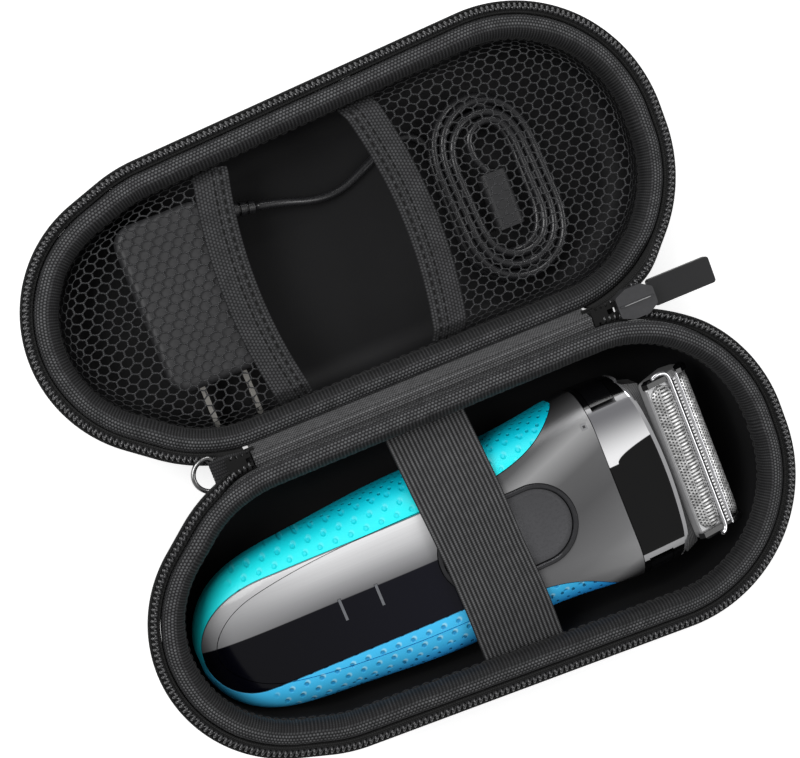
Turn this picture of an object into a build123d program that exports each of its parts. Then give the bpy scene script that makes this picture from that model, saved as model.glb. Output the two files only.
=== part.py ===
from build123d import *
import os
from math import cos, radians, sin, sqrt

os.makedirs("parts", exist_ok=True)

# Moulded zip case for an electric shaver, lying open at 180 degrees, with the shaver
# under its elastic and the charger in the lid. X runs along the hinge, +Y from the
# base to the lid, +Z up. The origin is on the table below the middle of the hinge.

# --- case outline, at the outer edge of the zip ---
case_length = 192.0
case_width = 94.3
tip_narrowing = 8.25
tip_rise = 1.45
left_narrowing = 3.25
left_station = 49.1
right_narrowing = 2.55
spine_overrun = 0.7

# --- shells ---
base_height = 38.0
lid_height = 28.0
closing_gap = 0.6
base_corner = 16.0
lid_corner = 12.0
shell_inset = 4.0
shell_wall = 3.0
lining_wall = 0.6

# --- rolled binding round each rim ---
binding_inset = 3.4
binding_width = 6.6
binding_cap = 1.0
binding_drop = 6.2
binding_outer_round = 1.6
binding_inner_round = 3.0

# --- zip ---
tooth_length = 2.6
tooth_width = 0.66
tooth_rise = 1.7
tooth_pitch = 1.64
tooth_mesh = 0.3
tape_thickness = 0.5
tape_overhang = 0.9
tape_turn_down = 3.4
row_left_lead = 17.1
row_right_lead = 21.6
chain_thickness = 1.3
chain_slot = 1.7
chain_side = 1.6
slider_length = 11.6
slider_width = 9.0
slider_tail_width = 6.0
slider_nose_width = 5.0
slider_plate = 1.1
slider_clear = 0.25
slider_lead = 15.4
slider_post = 1.1
slider_travel = 4.0
pull_width = 8.0
pull_length = 19.5
pull_thickness = 2.4
pull_pin = 1.5
pull_eye_x = 1.2
pull_eye_drop = 1.35

# --- fabric hinge ---
hinge_left_lead = 3.1
hinge_right_lead = 1.6
fold_radius = 0.9
gusset_thickness = 0.8
gusset_clear = 0.3

# --- key ring and its webbing ---
ring_wire = 1.4
ring_width = 10.6
ring_reach = 7.2
web_width = 7.0
web_sewn_width = 5.0
web_ply = 0.6
web_length = 10.3
ring_gap = 10.6

# --- elastic over the shaver ---
strap_width = 24.0
strap_thickness = 1.2
strap_turn = 3.0
strap_crown = 15.0
strap_tuck = 3.6
strap_clear = 0.3

# --- mesh pockets in the lid ---
mesh_thickness = 0.6
band_thickness = 1.3
band_width = 10.0
band_radius = 135.0
band_bow = 4.5
left_band_edge = -30.8
right_band_edge = 13.8
pocket_edge_z = 17.0
pocket_top_z = 25.8
pocket_slope = 5.8

# --- charger ---
charger_width = 29.0
charger_height = 21.4
charger_margin = 47.0
charger_far_gap = 14.5
blade_gap = 1.6
charger_corner = 6.0
charger_edge = 2.4
blade_length = 14.0
blade_width = 6.3
blade_thickness = 1.5
blade_spacing = 12.7
blade_drop = 2.5
relief_length = 12.5
relief_root = 6.0
relief_tip = 3.6
relief_offset = 19.5
relief_rise = 9.5
cord_diameter = 2.4
coil_width = 33.0
coil_band = 8.5
coil_depth = 7.0
coil_margin = 49.0
coil_near_gap = 8.1
coil_far_gap = 13.0
plug_length = 17.0
plug_width = 8.5
plug_depth = 6.6
rest_gap = 0.3

# --- shaver, its own frame: X from tail to head, Y across ---
shaver_margin = 10.6
shaver_offset = 4.05
shaver_turn = 1.1
shaver_top = 35.0
head_margin = 53.4
seam = 0.12
panel_half = 17.4
panel_start = 5.5
panel_short = 44.0
panel_floor = 22.0
grip_floor = 9.0
pad_short = 34.7
pad_length = 42.0
pad_width = 24.0
pad_wall = 1.3
pad_floor = 31.0
pad_proud = 0.5
button_clear = 0.25
button_travel = 0.7
button_height = 2.4
light_length = 6.5
light_width = 0.8
head_reach = 18.0
bulge_reach = 16.4
shoulder_reach = 10.4
saddle_half = 28.6
trim_width = 1.1
release_length = 7.4
release_depth = 4.2
release_travel = 1.0
cassette_reach = 26.5
cassette_z = 27.6
cassette_tilt = 45.0
cassette_length = 49.0
cassette_width = 20.8
cassette_depth = 9.5
foil_length = 43.2
foil_width = 5.9
foil_spacing = 10.8
foil_sink = 3.6
foil_rise = 2.0
foil_travel = 1.4
trimmer_width = 2.1
trimmer_pitch = 1.44
skirt_depth = 6.0
skirt_half = 26.0
skirt_rib = 1.5

# --- heights that follow ---
hinge_z = (base_height + lid_height + closing_gap) / 2
lining_inset = shell_inset + shell_wall
inner_inset = lining_inset + lining_wall
floor_z = shell_wall + lining_wall
part_line = closing_gap / 2
bottom = floor_z + rest_gap
strap_under = shaver_top + pad_proud + strap_clear

# --- places that follow ---
half_length = case_length / 2
half_width = case_width / 2
middle_y = half_width - spine_overrun
straight_left = left_station - half_length
straight_right = half_length - (half_width - right_narrowing)
row_left_end = straight_left - row_left_lead
row_right_end = straight_right + row_right_lead
hinge_left = straight_left - hinge_left_lead
hinge_right = straight_right + hinge_right_lead
slider_station = straight_right + slider_lead
shaver_x = shaver_margin - half_length
shaver_y = -middle_y - shaver_offset
handle_length = case_length - shaver_margin - head_margin
panel_end = handle_length - panel_short
pad_station = handle_length - pad_short
saddle_bulge = handle_length + bulge_reach
saddle_shoulder = handle_length + shoulder_reach
cassette_station = handle_length + cassette_reach
charger_x = charger_margin - half_length
wall_y = inner_inset - spine_overrun
room = case_width - 2 * inner_inset
charger_length = room - blade_length - blade_gap - charger_far_gap
charger_y = wall_y + blade_gap + blade_length + charger_length / 2
coil_x = half_length - coil_margin
coil_length = room - coil_near_gap - coil_far_gap
coil_y = wall_y + coil_near_gap + coil_length / 2
pull_eye_z = -(chain_thickness / 2 + slider_clear + slider_plate) - pull_eye_drop
web_eye = ring_wire / 2 + 0.2
web_top = hinge_z - fold_radius - 0.1
ring_z = web_top - web_ply - web_eye
ring_x = hinge_left - ring_gap
relief_root_point = Vector(charger_x + charger_width / 2, charger_y + relief_offset, bottom + relief_rise)
relief_run = Vector(12.3, -2.4, -2.0).normalized()
relief_end_point = relief_root_point + relief_run * relief_length


def outline(inset):
    """Plan of the case, moved in from the outer edge of the zip."""
    tip = half_width - tip_narrowing
    left = half_width - left_narrowing
    right = half_width - right_narrowing
    spots = [
        (tip - half_length, tip_rise - middle_y, tip),
        (left_station - half_length, spine_overrun - left, left),
        (half_length - right, spine_overrun - right, right),
        (half_length - right, spine_overrun - case_width + right, right),
    ]
    return make_hull([Pos(x, y) * Edge.make_circle(r - inset) for x, y, r in spots])


def slab(inset, low, high):
    return extrude(Pos(0, 0, low) * outline(inset), high - low)


def tub(inset, low, high, corner):
    """Slab with its bottom edge rounded over."""
    body = slab(inset, low, high)
    return fillet(body.faces().sort_by(Axis.Z)[0].edges(), corner)


def seam_tub(low, high, corner):
    """Where shell and lining meet, out of sight: a bevel between their two rounds."""
    bevel = ((corner - floor_z) * (sqrt(2) - 1) + lining_wall / 2) * sqrt(2)
    body = slab(lining_inset, low, high)
    return chamfer(body.faces().sort_by(Axis.Z)[0].edges(), bevel)


def filled(*lines):
    """Face inside a closed run of lines."""
    return make_face([edge for line in lines for edge in line.edges()])


def lidward(shape):
    """The lid is laid out as the base is, then turned over the hinge line."""
    return mirror(shape, about=Plane.XZ)


def block(x0, x1, y0, y1, z0, z1):
    size = (x1 - x0, y1 - y0, z1 - z0)
    return Pos((x0 + x1) / 2, (y0 + y1) / 2, (z0 + z1) / 2) * Box(*size)


# ---------------------------------------------------------------- case halves
def shell(height, corner):
    top = height - binding_cap
    outside = tub(shell_inset, 0, top, corner)
    return outside - seam_tub(shell_wall, top + 1, corner)


def lining(height, corner):
    top = height - binding_cap
    inside = tub(inner_inset, floor_z, top + 1, corner - floor_z)
    return seam_tub(shell_wall, top, corner) - inside


def binding(height):
    """Rolled tape over the rim, with a slot below it for the wall it is sewn to."""
    low = height - binding_drop
    band = slab(binding_inset, low, height)
    band -= slab(binding_inset + binding_width, low - 1, height + 1)
    top = band.faces().sort_by(Axis.Z)[-1]
    band = fillet(top.outer_wire().edges(), binding_outer_round)
    top = band.faces().sort_by(Axis.Z)[-1]
    band = fillet(top.inner_wires()[0].edges(), binding_inner_round)
    wall = slab(shell_inset, low - 1, height - binding_cap)
    return band - (wall - slab(inner_inset, low - 2, height))


def hinge_gate(height):
    return block(row_left_end, row_right_end, -12, 12, -1, height + 5)


def tooth_seat(height):
    return height + part_line + tooth_mesh - tooth_rise


def zip_tape(height):
    """Tape that stands out from the binding and carries the coil."""
    top = tooth_seat(height)
    flat = slab(tape_overhang, top - tape_thickness, top)
    flat -= slab(binding_inset, -1, height + 5)
    skirt = slab(binding_inset - tape_thickness, top - tape_turn_down, top)
    skirt -= slab(binding_inset, -1, height + 5)
    return (flat + skirt) - hinge_gate(height)


def zip_row(height, phase):
    """Coil teeth side by side along the tape, open at the hinge."""
    seat = tooth_seat(height)
    path = outline(tooth_length / 2).face().outer_wire()
    count = round(path.length / tooth_pitch)
    tooth = Box(tooth_width, tooth_length, tooth_rise)
    teeth = []
    for i in range(count):
        at = path.position_at((i + phase) / count)
        if row_left_end < at.X < row_right_end and at.Y > -12:
            continue
        run = path.tangent_at((i + phase) / count)
        plane = Plane((at.X, at.Y, seat + tooth_rise / 2), x_dir=run, z_dir=(0, 0, 1))
        teeth.append(plane.location * tooth)
    return Compound(children=[t.solid() for t in teeth])


# ------------------------------------------------------------- hinge and zip ends
def base_gusset():
    """Fabric leaf from the base to a rolled fold on the hinge line."""
    length = hinge_right - hinge_left
    middle = (hinge_left + hinge_right) / 2
    fold = Pos(middle, 0, hinge_z) * Rot(0, 90, 0) * Cylinder(fold_radius, length)
    half = gusset_thickness / 2
    edge = spine_overrun - binding_inset
    leaf = block(hinge_left, hinge_right, edge, 0, hinge_z - half, hinge_z + half)
    return fold + leaf


def lid_gusset():
    """Leaf from the lid's binding up to the fold, clear of it all the way round."""
    reach_y = binding_inset - spine_overrun
    reach_z = hinge_z - lid_height + binding_outer_round + gusset_thickness / 2
    along = Vector(0, reach_y, -reach_z).normalized()
    across = Vector(0, reach_z, reach_y).normalized() * (gusset_thickness / 2)
    axis = Vector(0, 0, hinge_z)
    near = axis + along * (fold_radius + gusset_clear)
    far = axis + along * (Vector(0, reach_y, reach_z).length + 2)
    rim = [near + across, far + across, far - across, near - across]
    face = Plane.YZ * make_face(Polyline(*[(v.Y, v.Z) for v in rim], close=True))
    leaf = Pos(hinge_left, 0, 0) * extrude(face, hinge_right - hinge_left)
    return leaf & block(-200, 200, 0, reach_y, 0, 60)


def chain_prong(side, start, stop):
    """One closed-up coil end, notched at the tooth pitch."""
    inner = chain_slot / 2
    outer = inner + chain_side
    count = int((stop - start) / tooth_pitch)
    bar = block(start, stop, inner, outer, -chain_thickness / 2, chain_thickness / 2)
    for i in range(count):
        x = start + (i + 0.75) * tooth_pitch
        bar -= block(x, x + tooth_pitch * 0.4, outer - 0.7, outer + 1, -2, 2)
    return bar if side > 0 else mirror(bar, about=Plane.XZ)


def chain_end(start, stop, slot_from):
    """Sewn-down end of the zip: closed coil with a slot where the slider's post runs."""
    head = block(start, slot_from, -chain_slot / 2, chain_slot / 2,
                 -chain_thickness / 2, chain_thickness / 2)
    body = chain_prong(1, start, stop) + chain_prong(-1, start, stop) + head
    return Pos(0, 0, hinge_z) * body


def slider_plan(grow):
    half = slider_length / 2 + grow
    tail = slider_tail_width / 2 + grow
    wide = slider_width / 2 + grow
    nose = slider_nose_width / 2 + grow
    rim = [
        (-half, -tail), (-half * 0.38, -wide), (half * 0.45, -wide), (half, -nose),
        (half, nose), (half * 0.45, wide), (-half * 0.38, wide), (-half, tail),
    ]
    return make_face(Polyline(*rim, close=True))


def slider_body():
    """Two plates on a post, flanges turned in along the sides, a bail underneath."""
    room = chain_thickness / 2 + slider_clear
    plate = fillet(slider_plan(0).vertices(), 0.8)
    solid = Pos(0, 0, -room - slider_plate) * extrude(plate, 2 * (room + slider_plate))
    channel = chain_slot / 2 + chain_side + slider_clear
    solid -= block(-20, 20, -channel, channel, -room, room)
    solid += block(0.5, slider_length / 2 - 0.6, -slider_post / 2, slider_post / 2, -room, room)
    top = room + slider_plate
    solid += block(-slider_length * 0.44, slider_length * 0.44, -0.2, 0.2, top - 0.2, top + 0.3)
    lug = block(pull_eye_x - 2.4, pull_eye_x + 2.4, -1.1, 1.1, -top - 2.6, -top)
    lug -= Pos(pull_eye_x, 0, pull_eye_z) * Rot(90, 0, 0) * Cylinder(pull_pin / 2 + 0.2, 4)
    return Pos(slider_station, 0, hinge_z) * (solid + lug)


def pull_tab():
    """Rubber tab moulded on a wire bail whose pin passes through the slider's lug."""
    arm = 2.6
    start = 5.0
    tab = block(start, start + pull_length, -pull_width / 2, pull_width / 2,
                -pull_thickness / 2, pull_thickness / 2)
    tab = fillet(tab.edges().filter_by(Axis.Z), 0.9)
    arms = block(-pull_pin / 2, start, -arm, -arm + pull_pin, -pull_pin / 2, pull_pin / 2)
    arms += mirror(arms, about=Plane.XZ)
    pin = Rot(90, 0, 0) * Cylinder(pull_pin / 2, 2 * arm)
    return pull_frame() * (tab + arms + pin)


def pull_frame():
    return Pos(slider_station + pull_eye_x, 0, hinge_z + pull_eye_z)


# ---------------------------------------------------------------- key ring
def web_loop():
    """Webbing folded round the straight side of the ring and sewn below the hinge."""
    half = web_width / 2
    outer = web_eye + web_ply
    loop = Pos(ring_x, 0, ring_z) * Rot(90, 0, 0) * Cylinder(outer, web_width)
    loop += block(ring_x, ring_x + web_length, -half, half, ring_z - outer, ring_z + outer)
    loop -= Pos(ring_x, 0, ring_z) * Rot(90, 0, 0) * Cylinder(web_eye, web_width + 2)
    slit = web_eye
    loop -= block(ring_x, ring_x + 3.2, -half - 1, half + 1, ring_z - slit, ring_z + slit)
    sewn = web_sewn_width / 2
    rim = [(ring_x - 5, half), (ring_x + 4, half), (hinge_left - 0.5, sewn),
           (hinge_left + 20, sewn), (hinge_left + 20, -sewn), (hinge_left - 0.5, -sewn),
           (ring_x + 4, -half), (ring_x - 5, -half)]
    return loop & extrude(make_face(Polyline(*rim, close=True)), 60)


def key_ring():
    """D ring: a straight side in the webbing and a half round outside it."""
    mid = (ring_width - ring_wire) / 2
    x_arc = ring_x - (ring_reach - ring_wire / 2 - mid)
    bend = ring_wire
    line = FilletPolyline(
        (x_arc, mid, ring_z), (ring_x, mid, ring_z),
        (ring_x, -mid, ring_z), (x_arc, -mid, ring_z), radius=bend,
    )
    arc = ThreePointArc((x_arc, -mid, ring_z), (x_arc - mid, 0, ring_z), (x_arc, mid, ring_z))
    path = Wire(line.edges() + arc.edges())
    start = path.position_at(0)
    section = Plane(start, z_dir=path.tangent_at(0)) * Circle(ring_wire / 2)
    return sweep(section, path=path)


# ---------------------------------------------------------------- elastic strap
def wall_span(x, inset):
    """Where the two long sides of the plan lie, moved in by inset, at one station."""
    box = (outline(inset) & (Pos(x, 0) * Rectangle(0.1, 400))).bounding_box()
    return box.min.Y, box.max.Y


def strap():
    """Elastic from wall to wall below the binding, drawn over the shaver."""
    end_z = base_height - binding_drop - rest_gap
    under = strap_under
    top = under + strap_thickness
    front, back = wall_span(0, inner_inset)
    front -= shaver_y
    back -= shaver_y
    upper = [
        (back + 5, end_z), (back - strap_tuck, end_z), (strap_crown, top),
        (-strap_crown, top), (front + strap_tuck, end_z), (front - 5, end_z),
    ]
    low_z = end_z - strap_thickness
    lower = [
        (front - 5, low_z), (front + strap_tuck + 0.4, low_z), (-strap_crown + 0.2, under),
        (strap_crown - 0.2, under), (back - strap_tuck - 0.4, low_z), (back + 5, low_z),
    ]
    face = Plane.YZ * make_face(Polyline(*upper, *lower, close=True))
    band = extrude(face, strap_width / 2, both=True)
    band = Pos(0, shaver_y, 0) * Rot(0, 0, strap_turn) * band
    return band & slab(inner_inset + strap_clear, 0, top + 1)


# ---------------------------------------------------------------- mesh pockets
def pocket_tray(thickness):
    """Sheet that rises from the lid's wall to a flat top just under the rim."""
    low = Pos(0, 0, pocket_edge_z) * outline(inner_inset + rest_gap)
    high = Pos(0, 0, pocket_top_z) * outline(inner_inset + rest_gap + pocket_slope)
    hump = loft([low.face(), high.face()], ruled=True)
    return (Pos(0, 0, thickness) * hump + hump_skirt(thickness)) - hump


def hump_skirt(thickness):
    return slab(inner_inset + rest_gap, pocket_edge_z, pocket_edge_z + thickness)


def band_plan(edge, side, inner, outer):
    """Strip between two arcs that bow away from the middle of the lid."""
    centre = edge - side * band_radius
    far = centre + side * 2 * case_length
    ring = Circle(band_radius + outer) - Circle(band_radius + inner)
    strip = extrude(Pos(centre, band_bow - middle_y) * ring, lid_height)
    return strip & block(min(centre, far), max(centre, far), -case_width, 0, 0, lid_height)


def pocket_band(edge, side):
    return lidward(pocket_tray(band_thickness) & band_plan(edge, side, 0, band_width))


def pocket_mesh(edge, side):
    return lidward(pocket_tray(mesh_thickness) & band_plan(edge, side, band_width, 200))


# ---------------------------------------------------------------- charger
def charger_body():
    box = Box(charger_width, charger_length, charger_height)
    box = fillet(box.edges().filter_by(Axis.Z), charger_corner)
    box = fillet(box.faces().sort_by(Axis.Z)[-1].edges(), charger_edge)
    box = chamfer(box.faces().sort_by(Axis.Z)[0].edges(), charger_edge / 2)
    return Pos(charger_x, charger_y, bottom + charger_height / 2) * box


def charger_blades():
    """Two flat pins on the side that faces the hinge."""
    y1 = charger_y - charger_length / 2
    z = bottom + charger_height / 2 - blade_drop
    blades = []
    for side in (-1, 1):
        x = charger_x + side * blade_spacing / 2
        blade = Box(blade_thickness, blade_length, blade_width)
        tip = blade.faces().sort_by(Axis.Y)[0]
        blade = chamfer(tip.edges().filter_by(Axis.Z), blade_thickness * 0.3)
        blade -= Pos(0, -blade_length * 0.22, 0) * Rot(0, 90, 0) * Cylinder(1.5, 4)
        blades.append((Pos(x, y1 - blade_length / 2, z) * blade).solid())
    return Compound(children=blades)


def strain_relief():
    """Tapered sleeve, ribbed, where the cord leaves the charger."""
    inside = relief_root_point - relief_run * 3.0
    length = relief_length + 3.0
    cone = Cone(relief_root / 2, relief_tip / 2, length)
    for i in range(3):
        z = length / 2 - 2.2 - 2.4 * i
        ring = Pos(0, 0, z) * (Cylinder(relief_root, 0.8) - Cylinder(relief_tip / 2 - 0.25 + 0.08 * i, 0.8))
        cone -= ring
    at = Plane((inside + relief_end_point) * 0.5, z_dir=relief_run)
    return (at.location * cone) - charger_body()


def cord_route():
    """Loose run over the lid's floor from the charger into the right pocket."""
    low = bottom + cord_diameter / 2 + 0.1
    first = relief_end_point + relief_run * 7.5
    return [
        relief_end_point, first,
        Vector(-5.5, 59.6, low + 1.6), Vector(3.0, 59.3, low),
        Vector(11.5, 62.6, low), Vector(20.0, 66.8, low + 0.2),
        Vector(27.8, 67.8, low + 0.8), Vector(34.0, 64.8, low + 1.2),
    ]


def bend_radii(points):
    radii = []
    for a, b, c in zip(points, points[1:], points[2:]):
        turn = radians((b - a).get_angle(c - b))
        run = min((b - a).length, (c - b).length)
        radii.append(0.45 * run / (sin(turn / 2) / cos(turn / 2)))
    return radii


def tube(points, diameter, name):
    radii = bend_radii(points)
    path = FilletPolyline(*points, radius=radii) if len(points) > 2 else Line(*points)
    plane = Plane(points[0], z_dir=points[1] - points[0])
    solid = sweep(plane * Circle(diameter / 2), path=path)
    wire = Wire(path.edges())
    print(name, "radii", [round(r, 1) for r in radii], "length", round(wire.length, 1),
          "volume", round(solid.volume, 2), "expected",
          round(wire.length * 3.14159265 * diameter**2 / 4, 2))
    return solid


def cord_coil():
    """Outer shape of the wound cord: a flat oval hank."""
    outer = SlotOverall(coil_length, coil_width)
    inner = SlotOverall(coil_length - 2 * coil_band, coil_width - 2 * coil_band)
    hank = extrude(outer - inner, coil_depth)
    hank = chamfer(hank.faces().sort_by(Axis.Z)[-1].edges(), 1.8)
    hank = chamfer(hank.faces().sort_by(Axis.Z)[0].edges(), 1.2)
    return Pos(coil_x, coil_y, bottom) * Rot(0, 0, 90) * hank


def cord_plug():
    """Small appliance plug lying inside the hank."""
    body = Box(plug_width, plug_length, plug_depth)
    body = fillet(body.edges().filter_by(Axis.Y), 2.0)
    mouth = body.faces().sort_by(Axis.Y)[0].center()
    for side in (-1, 1):
        body -= Pos(side * 1.7, mouth.Y, 0) * Rot(90, 0, 0) * Cylinder(0.8, 8)
    return Pos(coil_x, coil_y - 4.0, bottom + plug_depth / 2) * body


def cord_tail():
    y0 = coil_y - 4.0 + plug_length / 2
    y1 = coil_y + coil_length / 2 - coil_band + 1.5
    z = bottom + plug_depth / 2
    return tube([Vector(coil_x, y0, z), Vector(coil_x, y1, z)], cord_diameter, "cord_tail")


# ---------------------------------------------------------------- shaver
handle_stations = [
    (0.0, 5.0, 13.2, 19.5),
    (3.0, 12.0, 10.4, 22.4),
    (11.0, 19.4, 7.2, 26.2),
    (24.0, 23.4, 5.3, 28.9),
    (48.0, 25.6, 4.3, 31.8),
    (handle_length - 40.0, 26.8, 4.2, 34.7),
    (handle_length - 12.0, 28.2, 4.3, 35.0),
    (handle_length, 29.4, 5.0, 35.0),
    (handle_length + head_reach, 28.4, 8.0, 34.7),
]


def on_shaver(shape):
    return Pos(shaver_x, shaver_y, 0) * Rot(0, 0, shaver_turn) * shape


def section(x, half, low, high):
    rise = high - low
    face = RectangleRounded(2 * half, rise, 0.84 * rise / 2)
    return Plane((x, 0, (low + high) / 2), x_dir=(0, 1, 0), z_dir=(1, 0, 0)) * face


def handle_form():
    return on_shaver(loft([section(*s) for s in handle_stations]))


def tongue(grow):
    """Plan of the glossy front: a long tongue with a round tail."""
    w = panel_half + grow
    end = panel_end + grow
    start = panel_start - grow
    edge = [(end, w), (62, w - 0.2), (40, w - 1.3), (24, w - 3.4), (13, w - 7.2), (start, 0)]
    rim = edge + [(x, -y) for x, y in edge[-2::-1]]
    return filled(Spline(*rim), Line((end, -w), (end, w)))


def collar_plan(grow):
    """Neck that flares from the tongue's width to the whole head."""
    start = panel_end - grow
    edge = [(start, panel_half + grow), (handle_length - 28, panel_half + 0.9 + grow),
            (handle_length - 17, panel_half + 4.6 + grow), (handle_length - 8, panel_half + 10.4 + grow),
            (handle_length + 1, panel_half + 16 + grow)]
    top = Spline(*edge)
    low = Spline(*[(x, -y) for x, y in edge])
    return filled(top, Line(edge[-1], (edge[-1][0], -edge[-1][1])), low,
                  Line((edge[0][0], -edge[0][1]), edge[0]))


def upward(plan, low):
    return on_shaver(extrude(Pos(0, 0, low) * plan, 60))


def lengthwise(start, stop, low, high):
    return on_shaver(block(start, stop, -60, 60, low, high))


def pad_pocket():
    slot = SlotOverall(pad_length + 0.4, pad_width + 0.4)
    return upward(Pos(pad_station, 0) * slot, pad_floor)


def light_boxes(grow):
    boxes = [block(s - light_width / 2 - grow, s + light_width / 2 + grow,
                   -light_length / 2 - grow, light_length / 2 + grow, 27 - grow, 60)
             for s in (42.8, 53.8)]
    return on_shaver(boxes[0] + boxes[1])


def core_plan(grow):
    return tongue(grow) + collar_plan(grow)


def shaver_pieces(form):
    end = handle_length - seam
    handle = form & lengthwise(-5, end, -5, 60)
    core = Pos(0, 0, grip_floor - 1) * extrude(core_plan(0), panel_floor - grip_floor + 1)
    housing = (handle & lengthwise(-5, end, -5, grip_floor)) + (handle & on_shaver(core))
    panel = handle & upward(tongue(-seam), panel_floor + seam)
    panel = panel - light_boxes(seam) - pad_pocket()
    collar = handle & upward(collar_plan(-seam), panel_floor + seam)
    collar = collar - pad_pocket()
    skin = lengthwise(-5, end, grip_floor + seam, 80)
    grips = handle & (skin - upward(core_plan(seam), -5))
    lights = form & light_boxes(0)
    return {
        "shaver_housing": housing,
        "shaver_front_panel": panel,
        "shaver_collar": collar,
        "shaver_grips": grips,
        "indicator_lights": lights,
    }


def pad_ring():
    ring = SlotOverall(pad_length, pad_width)
    ring -= SlotOverall(pad_length - 2 * pad_wall, pad_width - 2 * pad_wall)
    ring = extrude(ring, shaver_top + pad_proud - pad_floor)
    ring = chamfer(ring.faces().sort_by(Axis.Z)[-1].edges(), 0.3)
    return Pos(pad_station, 0, pad_floor) * ring


def power_button():
    gap = pad_wall + button_clear
    slot = SlotOverall(pad_length - 2 * gap, pad_width - 2 * gap)
    low = pad_floor + button_travel + 0.2
    key = Pos(pad_station, 0, low) * extrude(slot, button_height)
    dish = Pos(pad_station + pad_length / 2 - pad_width / 2, 0, low + button_height - 1.2 + 36)
    return key - dish * Sphere(36)


# ---------------------------------------------------------------- shaver head
def cassette_plane():
    tilt = radians(cassette_tilt)
    return Plane((cassette_station, 0, cassette_z), x_dir=(sin(tilt), 0, -cos(tilt)),
                 z_dir=(cos(tilt), 0, sin(tilt)))


def tilted(shape):
    return cassette_plane().location * shape


def bulge_plan(back):
    """Head side of the saddle, bowed out towards the foils."""
    start = handle_length + seam
    arc = ThreePointArc((saddle_shoulder - back, 40), (saddle_bulge - back, 0),
                        (saddle_shoulder - back, -40))
    box = Polyline((saddle_shoulder - back, -40), (start, -40), (start, 40),
                   (saddle_shoulder - back, 40))
    return filled(arc, box)


def saddle_form(form):
    """Shoulder of the head: a hood that laps over the top side of the cassette."""
    side = cassette_width / 2 + 0.4
    front = tilted(block(-side, 60, -60, 60, -cassette_depth - 0.5, 60))
    return (form & upward(bulge_plan(0), -5)) - on_shaver(front)


def release_zone(side, grow, inner):
    mid = handle_length + 5.6
    half = release_length / 2 + grow
    box = block(mid - half, mid + half, inner, 60, 15 - grow, 60)
    return on_shaver(box if side > 0 else mirror(box, about=Plane.XZ))


def head_pieces(handle):
    form = saddle_form(handle)
    inner = saddle_half - release_depth
    body = form & upward(bulge_plan(trim_width), -5)
    for side in (-1, 1):
        body -= release_zone(side, 0.2, inner - release_travel - 0.3)
    trim = form - upward(bulge_plan(trim_width), -5)
    left = form & release_zone(1, 0, inner) & upward(bulge_plan(trim_width + 0.2), -5)
    right = form & release_zone(-1, 0, inner) & upward(bulge_plan(trim_width + 0.2), -5)
    return {
        "head_saddle": body,
        "head_trim": trim,
        "release_button_left": left,
        "release_button_right": right,
    }


def head_skirt():
    """Ribbed bellows between saddle and cassette, thin in the middle."""
    layers = int(skirt_depth / skirt_rib)
    top = -cassette_depth - 0.15
    body = None
    for i in range(layers):
        half = skirt_half - (0.0 if i % 2 == 0 else 0.8) - 0.3 * i
        wide = cassette_width / 2 - 0.6 - (0.0 if i % 2 == 0 else 0.6)
        high = top - i * skirt_rib
        layer = block(-wide, wide, -half, half, high - skirt_rib, high)
        body = layer if body is None else body + layer
    return on_shaver(tilted(body)) - upward(bulge_plan(-0.2), -5)


def foil_room(centre):
    half = foil_width / 2 + 0.25
    run = foil_length / 2 + 0.3
    return block(centre - half, centre + half, -run, run, -foil_sink - foil_travel - 0.3, 5)


def cassette_frame():
    frame = Box(cassette_width, cassette_length, cassette_depth)
    frame = fillet(frame.edges().filter_by(Axis.Z), 4.0)
    frame = Pos(0, 0, -cassette_depth / 2) * frame
    frame = fillet(frame.faces().sort_by(Axis.Z)[-1].edges(), 0.8)
    for side in (-1, 1):
        y = side * (cassette_length / 2 - 1.35)
        cap = Box(cassette_width - 7.0, 2.2, 2.0)
        cap = fillet(cap.edges().filter_by(Axis.Z), 0.9)
        frame += Pos(0, y, 0.6) * cap
    frame -= foil_room(-foil_spacing / 2)
    frame -= foil_room(foil_spacing / 2)
    half = trimmer_width / 2 + 0.2
    run = foil_length / 2 - 0.5
    frame -= block(-half, half, -run, run, -foil_sink - foil_travel - 0.3, 5)
    return tilted(frame)


def foil(centre):
    """Arched foil block with rounded ends."""
    half = foil_width / 2
    arch = filled(
        Polyline((-half, 0.3), (-half, -foil_sink), (half, -foil_sink), (half, 0.3)),
        ThreePointArc((half, 0.3), (0, foil_rise), (-half, 0.3)),
    )
    bar = extrude(Plane.XZ * arch, foil_length / 2, both=True)
    ends = Pos(0, 0, -foil_sink - 1) * extrude(SlotOverall(foil_length, foil_width), 20)
    bar = bar & (Rot(0, 0, 90) * ends)
    return tilted(Pos(centre, 0, 0) * bar)


def centre_trimmer():
    """Toothed bar between the foils."""
    run = foil_length / 2 - 0.8
    low = -foil_sink
    rim = [(-run, low), (run, low)]
    count = int(2 * run / trimmer_pitch)
    step = 2 * run / count
    for i in range(count):
        y = run - i * step
        rim += [(y, 1.5), (y - step * 0.55, 1.5), (y - step * 0.55, 0.5), (y - step, 0.5)]
    face = Plane.YZ * make_face(Polyline(*rim, close=True))
    return tilted(extrude(face, trimmer_width / 2, both=True))


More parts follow.
